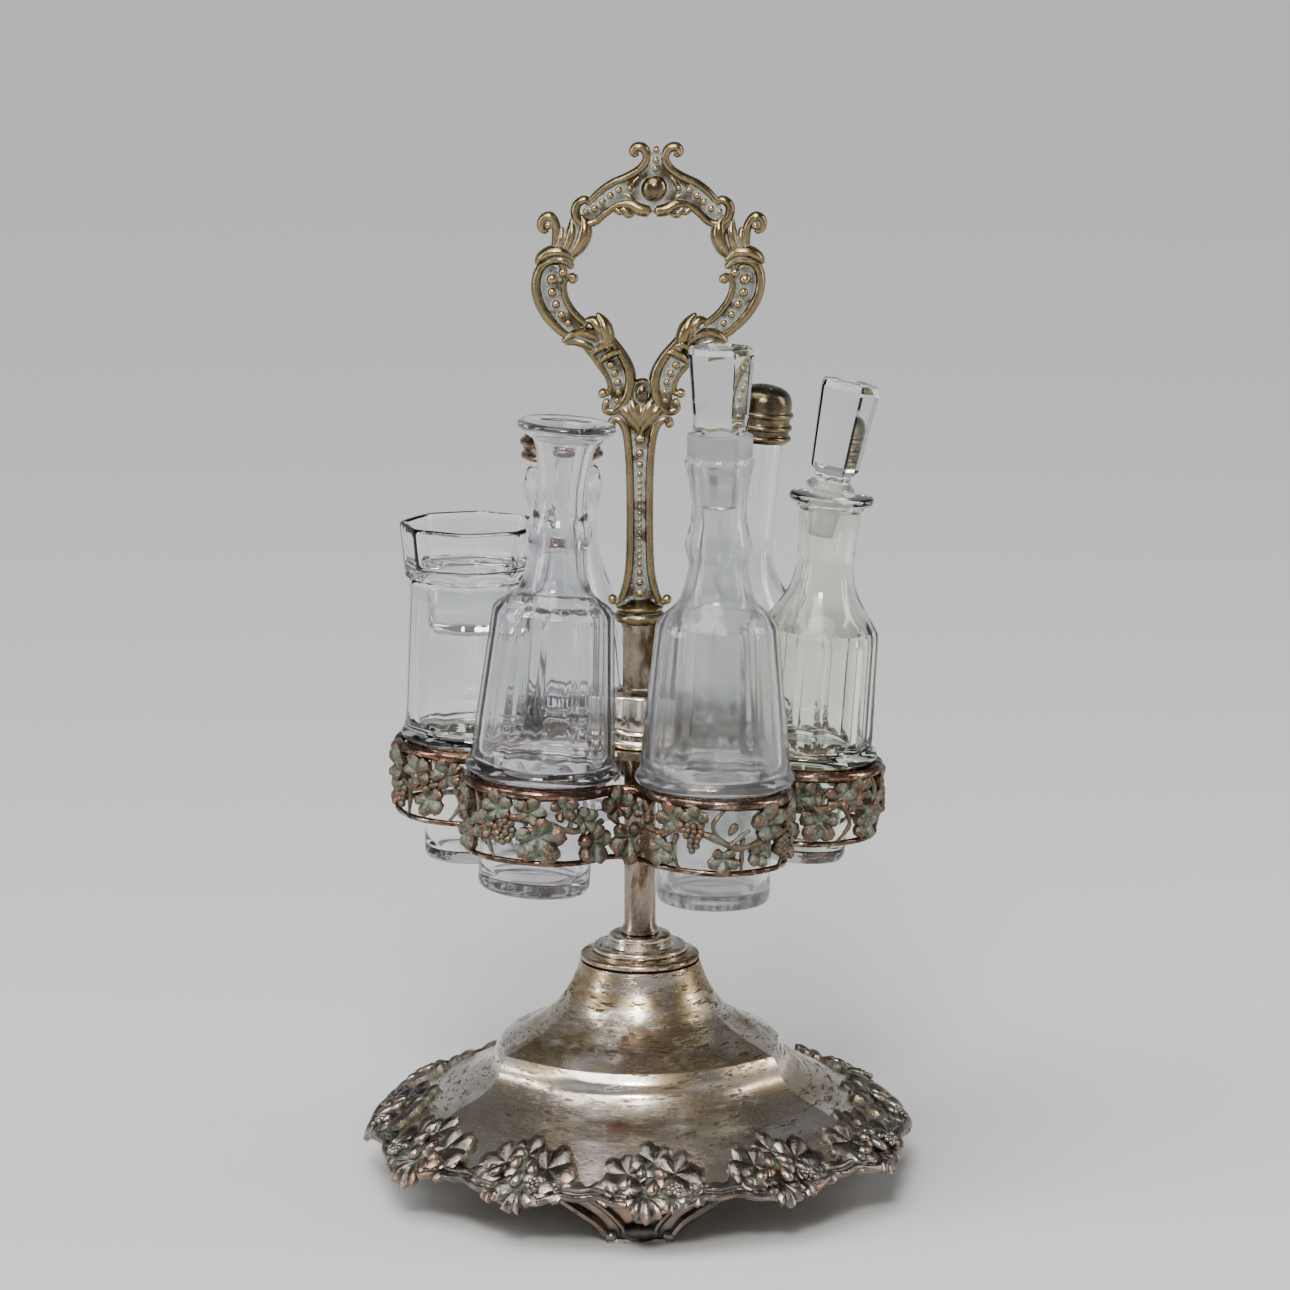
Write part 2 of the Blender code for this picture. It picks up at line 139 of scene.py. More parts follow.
def new_piece(name, bm, mat, body, nodes, place=Matrix(), sharp_deg=40.0):
    """A piece that rides on a body and stands for the CAD nodes named."""
    mesh = new_mesh(name, bm, place)
    mesh.materials.append(mat)
    ridges = [i for i, e in enumerate(mesh.edges) if e.use_edge_sharp]
    mesh.shade_smooth()
    mesh.set_sharp_from_angle(angle=math.radians(sharp_deg))
    for i in ridges:
        mesh.edges[i].use_edge_sharp = True
    obj = add_object(name, mesh)
    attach(obj, body)
    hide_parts(*nodes)
    return obj


def smooth(points, steps=6):
    """Catmull-Rom curve through points of any dimension."""
    points = [Vector(p) for p in points]
    ends = [points[0]] + points + [points[-1]]
    out = []
    for a, b, c, d in zip(ends, ends[1:], ends[2:], ends[3:]):
        for i in range(steps):
            t = i / steps
            out.append(0.5 * (2 * b + (c - a) * t + (2 * a - 5 * b + 4 * c - d) * t * t
                              + (3 * b - 3 * c + d - a) * t**3))
    out.append(points[-1])
    return out


def outline(*runs):
    """A turned outline from smooth runs that meet at corners."""
    points = []
    for run in runs:
        points += [tuple(p) for p in smooth(run, 5)] if len(run) > 2 else list(run)
    return points


def arc_corner(r, z, radius, start, end, steps=5):
    """Round edge about (r, z), angles in degrees from +R."""
    out = []
    for i in range(steps + 1):
        a = math.radians(start + (end - start) * i / steps)
        out.append((r + radius * math.cos(a), z + radius * math.sin(a)))
    return out


def spin(profile, sides, shape=None, bm=None):
    """Turned mesh; shape(r, z, turn) gives a point's radius. Ends at r = 0 close on the axis."""
    bm = bm or bmesh.new()
    rings = []
    for r, z in profile:
        if r < 1e-6:
            rings.append([bm.verts.new((0, 0, z))])
            continue
        ring = []
        for i in range(sides):
            turn = 2 * math.pi * i / sides
            radius = shape(r, z, turn) if shape else r
            ring.append(bm.verts.new((radius * math.cos(turn), radius * math.sin(turn), z)))
        rings.append(ring)
    pairs = list(zip(rings, rings[1:]))
    if len(rings[0]) > 1:
        pairs.append((rings[-1], rings[0]))
    for a, b in pairs:
        for i in range(sides):
            j = (i + 1) % sides
            corners = [a[i % len(a)], a[j % len(a)], b[j % len(b)], b[i % len(b)]]
            face = list(dict.fromkeys(corners))
            if len(face) > 2:
                bm.faces.new(face)
    return bm


def tube(bm, points, radii, sides=10, squash=1.0, closed=False):
    """Swept tube with round ends through points; squash scales its depth along Y."""
    points = [Vector(p) for p in points]
    count = len(points)
    if not hasattr(radii, "__len__"):
        radii = [radii] * count
    rings = []
    side = None
    for k, point in enumerate(points):
        before = points[k - 1] if k or closed else point
        after = points[(k + 1) % count] if k < count - 1 or closed else point
        along = (after - before).normalized()
        if side is None:
            side = along.orthogonal().normalized()
            if abs(along.y) < 0.8:
                side = along.cross(Vector((0, 1, 0))).normalized()
        side = (side - along * side.dot(along)).normalized()
        up = along.cross(side)
        ring = []
        for i in range(sides):
            a = 2 * math.pi * i / sides
            off = (side * math.cos(a) + up * math.sin(a)) * radii[k]
            off.y *= squash
            ring.append(bm.verts.new(point + off))
        rings.append(ring)
    pairs = list(zip(rings, rings[1:]))
    if closed:
        pairs.append((rings[-1], rings[0]))
    for a, b in pairs:
        bridge(bm, a, b)
    if not closed:
        for ring, point, nearer in ((rings[0], points[0], points[1]),
                                    (rings[-1], points[-1], points[-2])):
            radius = (ring[0].co - point).length
            tip = bm.verts.new(point + (point - nearer).normalized() * radius * 0.7)
            for i in range(sides):
                bm.faces.new((ring[i], ring[(i + 1) % sides], tip))
    return bm


def ball(bm, centre, radius, squash=(1.0, 1.0, 1.0), detail=2):
    made = bmesh.ops.create_icosphere(bm, subdivisions=detail, radius=radius)
    for v in made["verts"]:
        v.co = Vector(centre) + Vector([c * s for c, s in zip(v.co, squash)])
    return bm


def shell_patch(bm, spokes, rings, height, spread, mapping, depth):
    """A leaf-like closed patch: a polar grid with height() for its top, laid by mapping()."""
    top = [bm.verts.new(mapping(0, 0, height(0, 0)))]
    grid = []
    for k in range(1, rings + 1):
        ring = []
        for i in range(spokes):
            angle = 2 * math.pi * i / spokes
            share = k / rings
            reach = spread(angle) * share
            ring.append(bm.verts.new(mapping(reach * math.cos(angle), reach * math.sin(angle),
                                             height(share, angle))))
        grid.append(ring)
    low = []
    for i in range(spokes):
        angle = 2 * math.pi * i / spokes
        reach = spread(angle) * 0.94
        low.append(bm.verts.new(mapping(reach * math.cos(angle), reach * math.sin(angle), -depth)))
    under = bm.verts.new(mapping(0, 0, -depth))
    for i in range(spokes):
        j = (i + 1) % spokes
        bm.faces.new((top[0], grid[0][i], grid[0][j]))
        for a, b in zip(grid, grid[1:]):
            bm.faces.new((a[i], b[i], b[j], a[j]))
        bm.faces.new((grid[-1][i], low[i], low[j], grid[-1][j]))
        bm.faces.new((low[i], under, low[j]))


VINE = ((0.0, 1.0, 0.62), (1.15, 0.92, 0.60), (-1.15, 0.92, 0.60), (2.3, 0.74, 0.58),
        (-2.3, 0.74, 0.58))
FAN = ((0.0, 1.0, 0.27), (0.5, 0.98, 0.27), (-0.5, 0.98, 0.27), (1.0, 0.92, 0.27),
       (-1, 0.92, 0.27), (1.52, 0.72, 0.3), (-1.52, 0.72, 0.3))


def vine_leaf(bm, mapping, size, turn, curl=0.25, depth=0.8, lobes=VINE):
    """A cast leaf of puffed round lobes, each (angle off the tip, length, half width)."""
    def nearest(angle):
        """The lobe that reaches furthest this way, as (reach, share of its half width)."""
        best = (0.42, 1)
        for middle, length, half in lobes:
            off = abs((angle - turn - middle + math.pi) % (2 * math.pi) - math.pi) / half
            if off < 1.6:
                best = max(best, (length * (1 - 0.34 * min(off, 1.3) ** 3.2), min(off, 1)))
        return best

    def spread(angle):
        return size * nearest(angle)[0] * (1 + 0.035 * math.cos(angle * 19))

    def height(share, angle):
        reach, off = nearest(angle)
        puff = 1 - off**1.6
        vein = 0.14 * max(0, 1 - off * 5)
        roll = 1 - max(0, share - 0.55) ** 2 * 3.0
        return size * curl * (0.20 + share * roll * (0.15 + 0.85 * puff) - vein * share)

    shell_patch(bm, 44, 6, height, spread, mapping, depth)


def grapes(bm, mapping, size, turn, rows=(3, 4, 3, 2, 1), lift_mm=0.0):
    """A hanging bunch; turn is the way it hangs, in radians."""
    pitch = size * 1.5
    for k, count in enumerate(rows):
        for i in range(count):
            along = k * pitch * 0.86
            across = (i - (count - 1) / 2) * pitch + 0.25 * size * math.sin(k * 2.3)
            x = along * math.cos(turn) - across * math.sin(turn)
            y = along * math.sin(turn) + across * math.cos(turn)
            high = lift_mm + size * (0.35 + 0.6 * (1 - abs(across) / (pitch * 2)))
            ball(bm, mapping(x, y, high), size * (1 + 0.1 * math.sin(7 * k + 3 * i)))


def bud(bm, mapping, spot, length, width, turn, lift_mm=0.0):
    """A pear-shaped bump at spot on a mapped surface; turn points its thick end, in radians."""
    made = bmesh.ops.create_icosphere(bm, subdivisions=2, radius=1)
    for v in made["verts"]:
        along = v.co.x
        thick = width * (1.0 + 0.28 * along)
        x, y = along * length, v.co.y * thick
        v.co = mapping(spot[0] + x * math.cos(turn) - y * math.sin(turn),
                       spot[1] + x * math.sin(turn) + y * math.cos(turn),
                       lift_mm + v.co.z * thick * 0.85)


# ---------------------------------------------------------------- materials

def feed(node, inputs):
    """Fills a node's inputs with numbers, vectors, colours or other nodes' outputs."""
    for key, value in inputs.items():
        socket = node.inputs[key]
        if isinstance(value, bpy.types.NodeSocket):
            node.id_data.links.new(value, socket)
        elif isinstance(value, tuple):
            socket.default_value = (*value, 1)[:len(socket.default_value)]
        else:
            socket.default_value = value


def add_node(tree, kind, inputs=None, **settings):
    node = tree.nodes.new(kind)
    for key, value in settings.items():
        setattr(node, key, value)
    feed(node, inputs or {})
    return node


class Nodes:
    """Short hand for building a material; colour is what has been painted so far."""

    def __init__(self, name):
        self.mat = bpy.data.materials.new(name)
        self.mat.use_nodes = True
        self.tree = self.mat.node_tree
        self.shader = self.tree.nodes["Principled BSDF"]
        self.coords = self.add("ShaderNodeTexCoord").outputs["Object"]
        self.colour = None

    def add(self, kind, inputs=None, **settings):
        return add_node(self.tree, kind, inputs, **settings)

    def up_the_slope(self):
        """Coordinates x, y and a third that runs up the skirt: height less 0.6 of the radius."""
        x, y, z = self.add("ShaderNodeSeparateXYZ", {0: self.coords}).outputs
        flat = self.add("ShaderNodeCombineXYZ", {0: x, 1: y}).outputs[0]
        out = self.add("ShaderNodeVectorMath", {0: flat}, operation="LENGTH").outputs["Value"]
        slope = self.add("ShaderNodeMath", {0: out, 1: -0.6, 2: z}, operation="MULTIPLY_ADD")
        self.coords = self.add("ShaderNodeCombineXYZ",
                               {0: x, 1: y, 2: slope.outputs[0]}).outputs[0]

    def noise(self, scale, detail=4.0, rough=0.55, shift=0.0, stretch=(1, 1, 1), warp=0.0):
        place = self.add("ShaderNodeMapping", {
            "Vector": self.coords, "Scale": stretch,
            "Location": (shift, shift * 0.7, shift * 1.3)})
        return self.add("ShaderNodeTexNoise", {
            "Vector": place.outputs[0], "Scale": scale, "Detail": detail, "Roughness": rough,
            "Distortion": warp}).outputs["Fac"]

    def remap(self, value, low, high, out_low=0.0, out_high=1.0):
        return self.add("ShaderNodeMapRange", {
            "Value": value, "From Min": low, "From Max": high, "To Min": out_low,
            "To Max": out_high}, interpolation_type="SMOOTHSTEP").outputs["Result"]

    def spots(self, low, high, *pattern):
        """Patches of noise: 0 where it is under low, 1 over high."""
        return self.remap(self.noise(*pattern), low, high)

    def math(self, operation, a, b):
        node = self.add("ShaderNodeMath", {0: a, 1: b}, operation=operation, use_clamp=True)
        return node.outputs["Value"]

    def times(self, a, b):
        return self.math("MULTIPLY", a, b)

    def plus(self, a, b):
        return self.math("ADD", a, b)

    def less(self, a, b):
        return self.math("SUBTRACT", a, b)

    def most(self, a, b):
        return self.math("MAXIMUM", a, b)

    def mix(self, factor, a, b):
        node = self.add("ShaderNodeMix", {"Factor": factor, 6: a, 7: b}, data_type="RGBA")
        return node.outputs[2]

    def paint(self, mask, colour, strength=1.0):
        """Lays a colour over those laid before it."""
        if strength < 1.0:
            mask = self.times(mask, strength)
        self.colour = self.mix(mask, self.colour, colour)

    def pointiness(self, low, high):
        geometry = self.add("ShaderNodeNewGeometry")
        return self.remap(geometry.outputs["Pointiness"], low, high)

    def cavity(self, reach_mm, low, high):
        """Near 1 where the surface is closed in, within reach_mm."""
        node = self.add("ShaderNodeAmbientOcclusion", {"Distance": reach_mm * MM}, samples=5)
        return self.remap(node.outputs["AO"], low, high)

    def bump(self, height, strength, distance_mm):
        node = self.add("ShaderNodeBump", {
            "Strength": strength, "Distance": distance_mm * MM, "Height": height})
        feed(self.shader, {"Normal": node.outputs["Normal"]})

    def finish(self, rough, metallic=1.0):
        feed(self.shader, {"Roughness": rough, "Metallic": metallic})
        if self.colour:
            feed(self.shader, {"Base Color": self.colour})
        return self.mat


def worn_plate():
    """Pressed silver plate: warm satin silver, brown-yellow tarnish clouds, kept thin low on the
    skirt as a painted highlight, and fine level pits.
    """
    n = Nodes("worn_silver_plate")
    n.up_the_slope()
    clouds = n.spots(0.4, 0.62, 30, 5, 0.6, 0, (0.7, 0.7, 1))
    n.colour = n.mix(clouds, (0.84, 0.78, 0.71), (0.6, 0.51, 0.4))
    up = n.add("ShaderNodeSeparateXYZ", {0: n.coords}).outputs[2]
    # Tarnish grows up the slope. Leaving the lower skirt paler is also a painted highlight: the
    # broad bright sheen across the skirt.
    tarnish_up_slope_and_lit_skirt = n.remap(up, -0.01, 0.05, 0.42, 1)
    brown = n.times(n.spots(0.44, 0.6, 48, 7, 0.72, 3.1, (0.5, 0.5, 1)), tarnish_up_slope_and_lit_skirt)
    n.paint(brown, (0.27, 0.19, 0.085), 0.85)
    n.paint(n.spots(0.62, 0.72, 58, 4, 0.6, 7.7), (0.4, 0.18, 0.11), 0.6)
    zones = n.spots(0.34, 0.52, 40, 4, 0.6, 9.2, (0.7, 0.7, 1))
    dashes = n.spots(0.535, 0.605, 430, 5, 0.75, 1.9, (0.3, 0.3, 1.2), 0.4)
    fine = n.spots(0.59, 0.65, 620, 4, 0.65, 4.4, (0.4, 0.4, 1))
    pits = n.most(n.times(dashes, zones), n.times(fine, zones))
    n.paint(pits, (0.095, 0.058, 0.03), 0.85)
    edges = n.times(n.pointiness(0.53, 0.6), n.spots(0.38, 0.55, 45, 3))
    n.paint(edges, (0.45, 0.22, 0.14), 0.75)
    streaks = n.noise(900, 3, 0.6, 5, (0.06, 0.06, 1.4))
    rough = n.plus(n.remap(clouds, 0, 1, 0.13, 0.22), n.times(brown, 0.14))
    rough = n.plus(rough, n.times(pits, 0.3))
    rough = n.plus(rough, n.times(n.remap(streaks, 0.35, 0.65), 0.04))
    dents = n.noise(30, 2, 0.5, 2)
    n.bump(n.less(n.times(dents, 0.9), n.times(pits, 0.05)), 0.45, 1)
    return n.finish(rough)


def cast_border():
    """Dark cast plate: painted shade and grey-green deposits in the recesses, dull pewter faces,
    bright and coppery tips.
    """
    n = Nodes("cast_border_plate")
    grain = n.noise(150, 5, 0.65)
    n.colour = n.mix(n.remap(grain, 0.35, 0.66), (0.105, 0.093, 0.081), (0.205, 0.178, 0.155))
    tips = n.pointiness(0.52, 0.6)
    shine = n.remap(n.noise(90, 4, 0.6, 2), 0.36, 0.58, 0.35, 1)
    n.paint(n.times(tips, shine), (0.41, 0.35, 0.305))
    n.paint(n.times(n.spots(0.5, 0.64, 70, 3, 0.5, 4), tips), (0.42, 0.25, 0.17), 0.6)
    # Painted shade: the recesses between lobes and leaves are darkened where the surface closes in.
    recess_shade = n.cavity(2.4, 0.74, 0.34)
    n.paint(recess_shade, (0.055, 0.062, 0.048), 0.7)
    chalky = n.remap(n.noise(95, 4, 0.6, 8), 0.42, 0.54, 0, 0.75)
    pale = n.times(n.cavity(4.5, 0.92, 0.55), chalky)
    n.paint(pale, (0.25, 0.28, 0.235))
    rough = n.plus(n.remap(grain, 0.3, 0.7, 0.22, 0.38), n.times(recess_shade, 0.3))
    n.bump(n.plus(n.times(n.noise(190, 3, 0.6), 0.6),
                  n.times(n.noise(470, 4, 0.65), 0.4)), 0.6, 1)
    return n.finish(rough, n.less(1, pale))


def frieze_patina():
    """Dusty grey-green crust over brown metal, copper only where it is rubbed, and painted shade in
    the crevices.
    """
    n = Nodes("frieze_green_patina")
    grain = n.noise(240, 5, 0.65)
    n.colour = n.mix(n.remap(grain, 0.38, 0.62), (0.07, 0.066, 0.05), (0.155, 0.15, 0.118))
    tips = n.pointiness(0.52, 0.6)
    lumps = n.plus(n.times(n.noise(170, 3, 0.6), 0.7),
                   n.times(n.noise(460, 4, 0.65), 0.3))
    n.paint(tips, (0.135, 0.092, 0.064), 0.65)
    crust = n.spots(0.5, 0.57, 135, 5, 0.7, 6)
    crust = n.most(n.times(crust, 0.45), n.remap(lumps, 0.515, 0.455))
    fresh = n.less(1, n.times(tips, 0.6))
    n.paint(n.times(crust, n.times(fresh, 0.8)), (0.265, 0.29, 0.235))
    rubbed = n.times(n.pointiness(0.54, 0.62), n.spots(0.51, 0.58, 150, 4, 0.6, 2))
    rubbed = n.most(rubbed, n.times(n.remap(lumps, 0.525, 0.575), 0.75))
    n.paint(rubbed, (0.31, 0.185, 0.13))
    # Painted shade: the crevices between leaves, bunches and twigs are darkened.
    n.paint(n.cavity(1.8, 0.62, 0.26), (0.04, 0.044, 0.034), 0.8)
    n.bump(lumps, 1, 2)
    return n.finish(n.remap(rubbed, 0, 1, 0.44, 0.26), n.remap(rubbed, 0, 1, 0.45, 1))


def worn_copper():
    """Plate rubbed through to copper, with remains of silver and dark grime."""
    n = Nodes("worn_copper_rail")
    tone = n.spots(0.4, 0.6, 60, 4, 0.6, 5.1)
    n.colour = n.mix(tone, (0.265, 0.155, 0.108), (0.18, 0.125, 0.092))
    n.paint(n.spots(0.5, 0.58, 95, 5, 0.6, 2.2, (1, 1, 2)), (0.52, 0.41, 0.34), 0.7)
    grime = n.spots(0.47, 0.57, 170, 5, 0.65, 8, (1, 1, 2))
    n.paint(grime, (0.06, 0.042, 0.032), 0.85)
    n.bump(n.noise(240, 4, 0.6), 0.35, 0.5)
    return n.finish(n.plus(n.times(grime, 0.3), 0.19))


def aged_brass(name="aged_cast_brass", floor=False):
    """Cast brass: golden high points, brown faces; pale polish residue in the recesses."""
    n = Nodes(name)
    grain = n.noise(130, 5, 0.62)
    patch = n.spots(0.36, 0.54, 140, 4, 0.6, 3.3)
    if floor:
        n.colour = n.mix(n.remap(grain, 0.3, 0.7), (0.09, 0.07, 0.045), (0.19, 0.155, 0.1))
        residue = n.times(n.cavity(3.2, 0.95, 0.55), n.times(patch, 0.95))
    else:
        n.colour = n.mix(n.remap(grain, 0.38, 0.62), (0.115, 0.092, 0.06), (0.235, 0.192, 0.128))
        n.paint(n.pointiness(0.52, 0.6), (0.44, 0.345, 0.195))
        residue = n.times(n.cavity(1.9, 0.72, 0.4), n.times(patch, 0.9))
    n.paint(residue, (0.66, 0.71, 0.7))
    rough = n.plus(n.remap(grain, 0.3, 0.7, 0.18, 0.32), n.times(residue, 0.4))
    n.bump(n.noise(420, 4, 0.6), 0.4, 0.4)
    return n.finish(rough, n.less(1, n.times(residue, 0.9)))


def dull_metal(name, pale, dark, low, high, scale=120.0):
    n = Nodes(name)
    n.colour = n.mix(n.spots(0.42, 0.62, scale, 6, 0.65, 1, (1, 1, 0.35)), pale, dark)
    n.bump(n.noise(scale * 4, 4, 0.6), 0.2, 0.3)
    return n.finish(n.remap(n.noise(scale * 3, 4, 0.6), 0.3, 0.7, low, high))


def glass(name, tint, haze=0.0, roughness=0.02, waves=0.25):
    """Pressed glass with a faint ripple; haze adds a thin dull film."""
    n = Nodes(name)
    feed(n.shader, {"Base Color": tint, "Transmission Weight": 1, "IOR": 1.5})
    film = n.noise(60, 4, 0.6, 0, (1, 1, 0.4))
    n.bump(n.noise(70, 2, 0.5, 4, (1, 1, 0.5)), waves, 0.25)
    if haze:
        veil = n.add("ShaderNodeBsdfTranslucent", {"Color": (0.86, 0.87, 0.9)})
        blend = n.add("ShaderNodeMixShader", {
            0: n.remap(film, 0.3, 0.75, haze * 0.4, haze), 1: n.shader.outputs[0],
            2: veil.outputs[0]})
        feed(n.tree.nodes["Material Output"], {"Surface": blend.outputs[0]})
    return n.finish(n.remap(film, 0.35, 0.7, roughness, roughness + 0.03 + haze * 0.5), 0)


def cork():
    n = Nodes("cork_liner")
    grain = n.spots(0.35, 0.7, 700, 4, 0.7)
    n.colour = n.mix(grain, (0.3, 0.2, 0.11), (0.55, 0.4, 0.25))
    n.bump(grain, 0.5, 0.3)
    return n.finish(n.remap(grain, 0, 1, 0.8, 0.95), 0)


CLEAR = glass("clear_pressed_glass", (0.97, 0.985, 0.97))
WORN_GROUND = glass("worn_ground_glass", (0.96, 0.965, 0.96), 0.04, 0.1, 0.1)


# ---------------------------------------------------------------- base

def panel_radius(middle_r, corner_r, azimuth):
    """Three wide panels that turn outwards to sharp corners 60 degrees off their middles."""
    off_panel = abs((azimuth + 60) % 120.0 - 60) / 60.0
    return middle_r + (corner_r - middle_r) * (0.40 * off_panel**2 + 0.60 * off_panel**6)


BASE_CURVE = smooth(BASE_LEVELS[:6], 6)[:-1] + smooth(BASE_LEVELS[5:], 8)


def flare(t):
    """Levels of the outer skin by panel-middle radius, carried on straight past the rim."""
    last = len(BASE_CURVE) - 1
    k = next((i for i, level in enumerate(BASE_CURVE) if level[0] >= t), last)
    before, after = BASE_CURVE[max(k - 1, 0)], BASE_CURVE[max(k, 1)]
    return before + (after - before) * ((t - before[0]) / (after[0] - before[0]))


def on_flare(azimuth, t, out):
    """A point above the flare: t is the panel-middle radius there, out the distance off the skin.

    Past the rim the skin is carried on and droops."""
    here, beyond = flare(t), flare(t + 0.5)
    x, y = direction(azimuth)
    r = panel_radius(here[0], here[1], azimuth)
    run = panel_radius(beyond[0], beyond[1], azimuth) - r
    fall = beyond[2] - here[2]
    size = math.hypot(run, fall)
    over = max(0, t - RIM_R)
    r += out * -fall / size - 0.25 * over
    return Vector((r * x, r * y, here[2] + out * run / size - 0.085 * over**2))


def base_shell(mat):
    sides = 150
    bm = bmesh.new()
    levels = [(ROD_BORE_R, ROD_BORE_R, DOME_TOP), (21.5, 21.5, DOME_TOP)]
    levels += [tuple(p) for p in BASE_CURVE if p[0] < SHELL_EDGE_R] + [tuple(flare(SHELL_EDGE_R))]
    inside = [(m - 1.2, c - 1.2, h - SHELL_WALL) for m, c, h in reversed(levels[1:])]
    levels += inside + [(ROD_BORE_R, ROD_BORE_R, DOME_TOP - SHELL_WALL)]
    rings = []
    for middle_r, corner_r, height in levels:
        ring = []
        for i in range(sides):
            azimuth = 360.0 * i / sides
            r = panel_radius(middle_r, corner_r, azimuth)
            x, y = direction(azimuth)
            ring.append(bm.verts.new((r * x, r * y, height)))
        rings.append(ring)
    corners = {sides // 6, sides // 2, sides * 5 // 6}
    for a, b in zip(rings, rings[1:] + rings[:1]):
        bridge(bm, a, b)
    for a, b in zip(rings[3:], rings[4:]):
        for i in corners:
            edge = bm.edges.get((a[i], b[i]))
            if edge:
                edge.smooth = False
    new_piece("pressed_base", bm, mat, "stand", ["base_shell"], sharp_deg=50)


BORDER_SIDES = 360
BORDER_STEPS = 9               # across the ground band
BORDER_RIM = 103.2             # the band's outer edge between clusters
BORDER_REACH = 4.4             # how much further it reaches at a cluster
BORDER_BACK = 97.0             # its inner edge between clusters
BORDER_RISE = 12.5             # how much further up that lies at a cluster
MOULDING_HALF = 9.2            # half the sweep between two clusters, degrees


def leaf_border(mat):
    """Ground band with a ragged edge, then leaves, buds and edge scrolls on it."""
    rng = random.Random(4)
    bm = bmesh.new()
    pitch = 360.0 / CLUSTERS

    def clump(azimuth):
        return 0.5 + 0.5 * math.cos(math.radians((azimuth - FIRST_CLUSTER) * CLUSTERS))

    def scallop(azimuth):
        ripple = 0.5 * math.sin(math.radians(azimuth * 47))
        return BORDER_RIM + BORDER_REACH * clump(azimuth) ** 1.3 + ripple

    rings = [[] for _ in range(2 * BORDER_STEPS)]
    for i in range(BORDER_SIDES):
        azimuth = 360.0 * i / BORDER_SIDES
        near = BORDER_BACK - BORDER_RISE * clump(azimuth) ** 0.8 + 0.8 * math.sin(azimuth * 1.7)
        far = scallop(azimuth)
        for k in range(BORDER_STEPS):
            share = k / (BORDER_STEPS - 1)
            t = near + (far - near) * share
            swell = math.sin(math.pi * share)
            out = 0.5 + swell * (0.8 + 0.4 * math.sin(azimuth * 0.61 + k))
            under = -0.25 - 0.6 * (k > 6)
            rings[k].append(bm.verts.new(on_flare(azimuth, t, out)))
            rings[-1 - k].append(bm.verts.new(on_flare(azimuth, t, under)))
    for a, b in zip(rings, rings[1:] + rings[:1]):
        bridge(bm, a, b)

    def patch_at(azimuth, t, lift_mm):
        def mapping(x, y, out):
            """x runs round the base, y towards the rim."""
            return on_flare(azimuth + math.degrees(x / t), t + y, out + lift_mm)
        return mapping

    for k in range(CLUSTERS):
        centre = FIRST_CLUSTER + pitch * k + rng.uniform(-1, 1)
        flip = rng.choice((-1, 1))
        leaves = (                     # azimuth off the centre, place, size, turn, lobes
            (1.2 * flip, 100.4, 9.8, 1.57, FAN),
            (-5.4, 92, 11.2, 2.75, VINE),
            (5.6, 92.6, 11.4, 0.35, VINE),
            (-1.2 * flip, 87.2, 8.8, -1.7, VINE),
            (-8, 99, 7.6, 2.4, VINE),
            (8.2, 98.8, 7.8, 0.8, VINE),
            (-4.6 * flip, 101.6, 6.6, 1.9, FAN),
        )
        for order, (side, t, size, turn, lobes) in enumerate(leaves):
            spot = patch_at(centre + side, t, 0.3 + 0.3 * (order % 3))
            vine_leaf(bm, spot, size * rng.uniform(0.92, 1.08), turn + rng.uniform(-0.3, 0.3),
                      0.3, 1, lobes)
        spot = patch_at(centre, 96, 2.6)
        for x, y, length, width, turn in (
            (-8.6, 1.5, 3.6, 2.1, 2.6), (-3.2, -3.6, 3.2, 2, 2), (3.8, -2.6, 3.4, 2.1, 1),
            (8.8, 1.8, 3.5, 2, 0.6), (0.2, 2.6, 3.8, 2.2, 1.5),
        ):
            wobble = rng.uniform(-0.5, 0.5)
            bud(bm, spot, (x + wobble, y + wobble), length, width, turn + wobble,
                0.5 * rng.random())
        side = rng.choice((-1, 1))
        spot = patch_at(centre + side * 4.2, 99.5, 2.6)
        grapes(bm, spot, 1.15, 1.57 - side * 0.6, (2, 3, 2, 1), 0.3)
    for k in range(CLUSTERS):
        middle = FIRST_CLUSTER + pitch * (k + 0.5)
        for offset, thick in ((-0.2, 1.45), (-3.3, 1.15)):
            path = []
            for i in range(25):
                a = middle - MOULDING_HALF + 2 * MOULDING_HALF * i / 24
                path.append(on_flare(a, scallop(a) + offset, 1.3))
            tube(bm, path, thick, 9)
        for hand in (-1, 1):
            path = []
            for i in range(20):
                wind = 4.6 * i / 19
                reach = 2.9 * (1 - 0.62 * i / 19)
                a = middle + hand * (6.2 - math.degrees(reach * math.sin(wind) / RIM_R))
                path.append(on_flare(a, 99.4 + reach * math.cos(wind), 1.9))
            tube(bm, path, [1.2 - 0.35 * i / 19 for i in range(20)], 8)
            ball(bm, path[-1], 1.3)
    new_piece("leaf_border", bm, mat, "stand", ["base_border"])


FOOT_RIBS = (                  # edge roll, inner rib and short rib of the +X half
    ((34.2, -1.4, 20.2), (28.5, -1.8, 15.8), (22, -2.2, 11.6), (16.4, -2.6, 7.6),
     (12.8, -2.8, 3.2)),
    ((26.5, -2.8, 21.2), (19.5, -3.2, 17.6), (12.4, -3.6, 12.6), (7.2, -3.8, 7),
     (5.4, -3.8, 2.6)),
    ((17, -3.2, 23.2), (10, -3.6, 20), (4.6, -4, 14.5)),
)


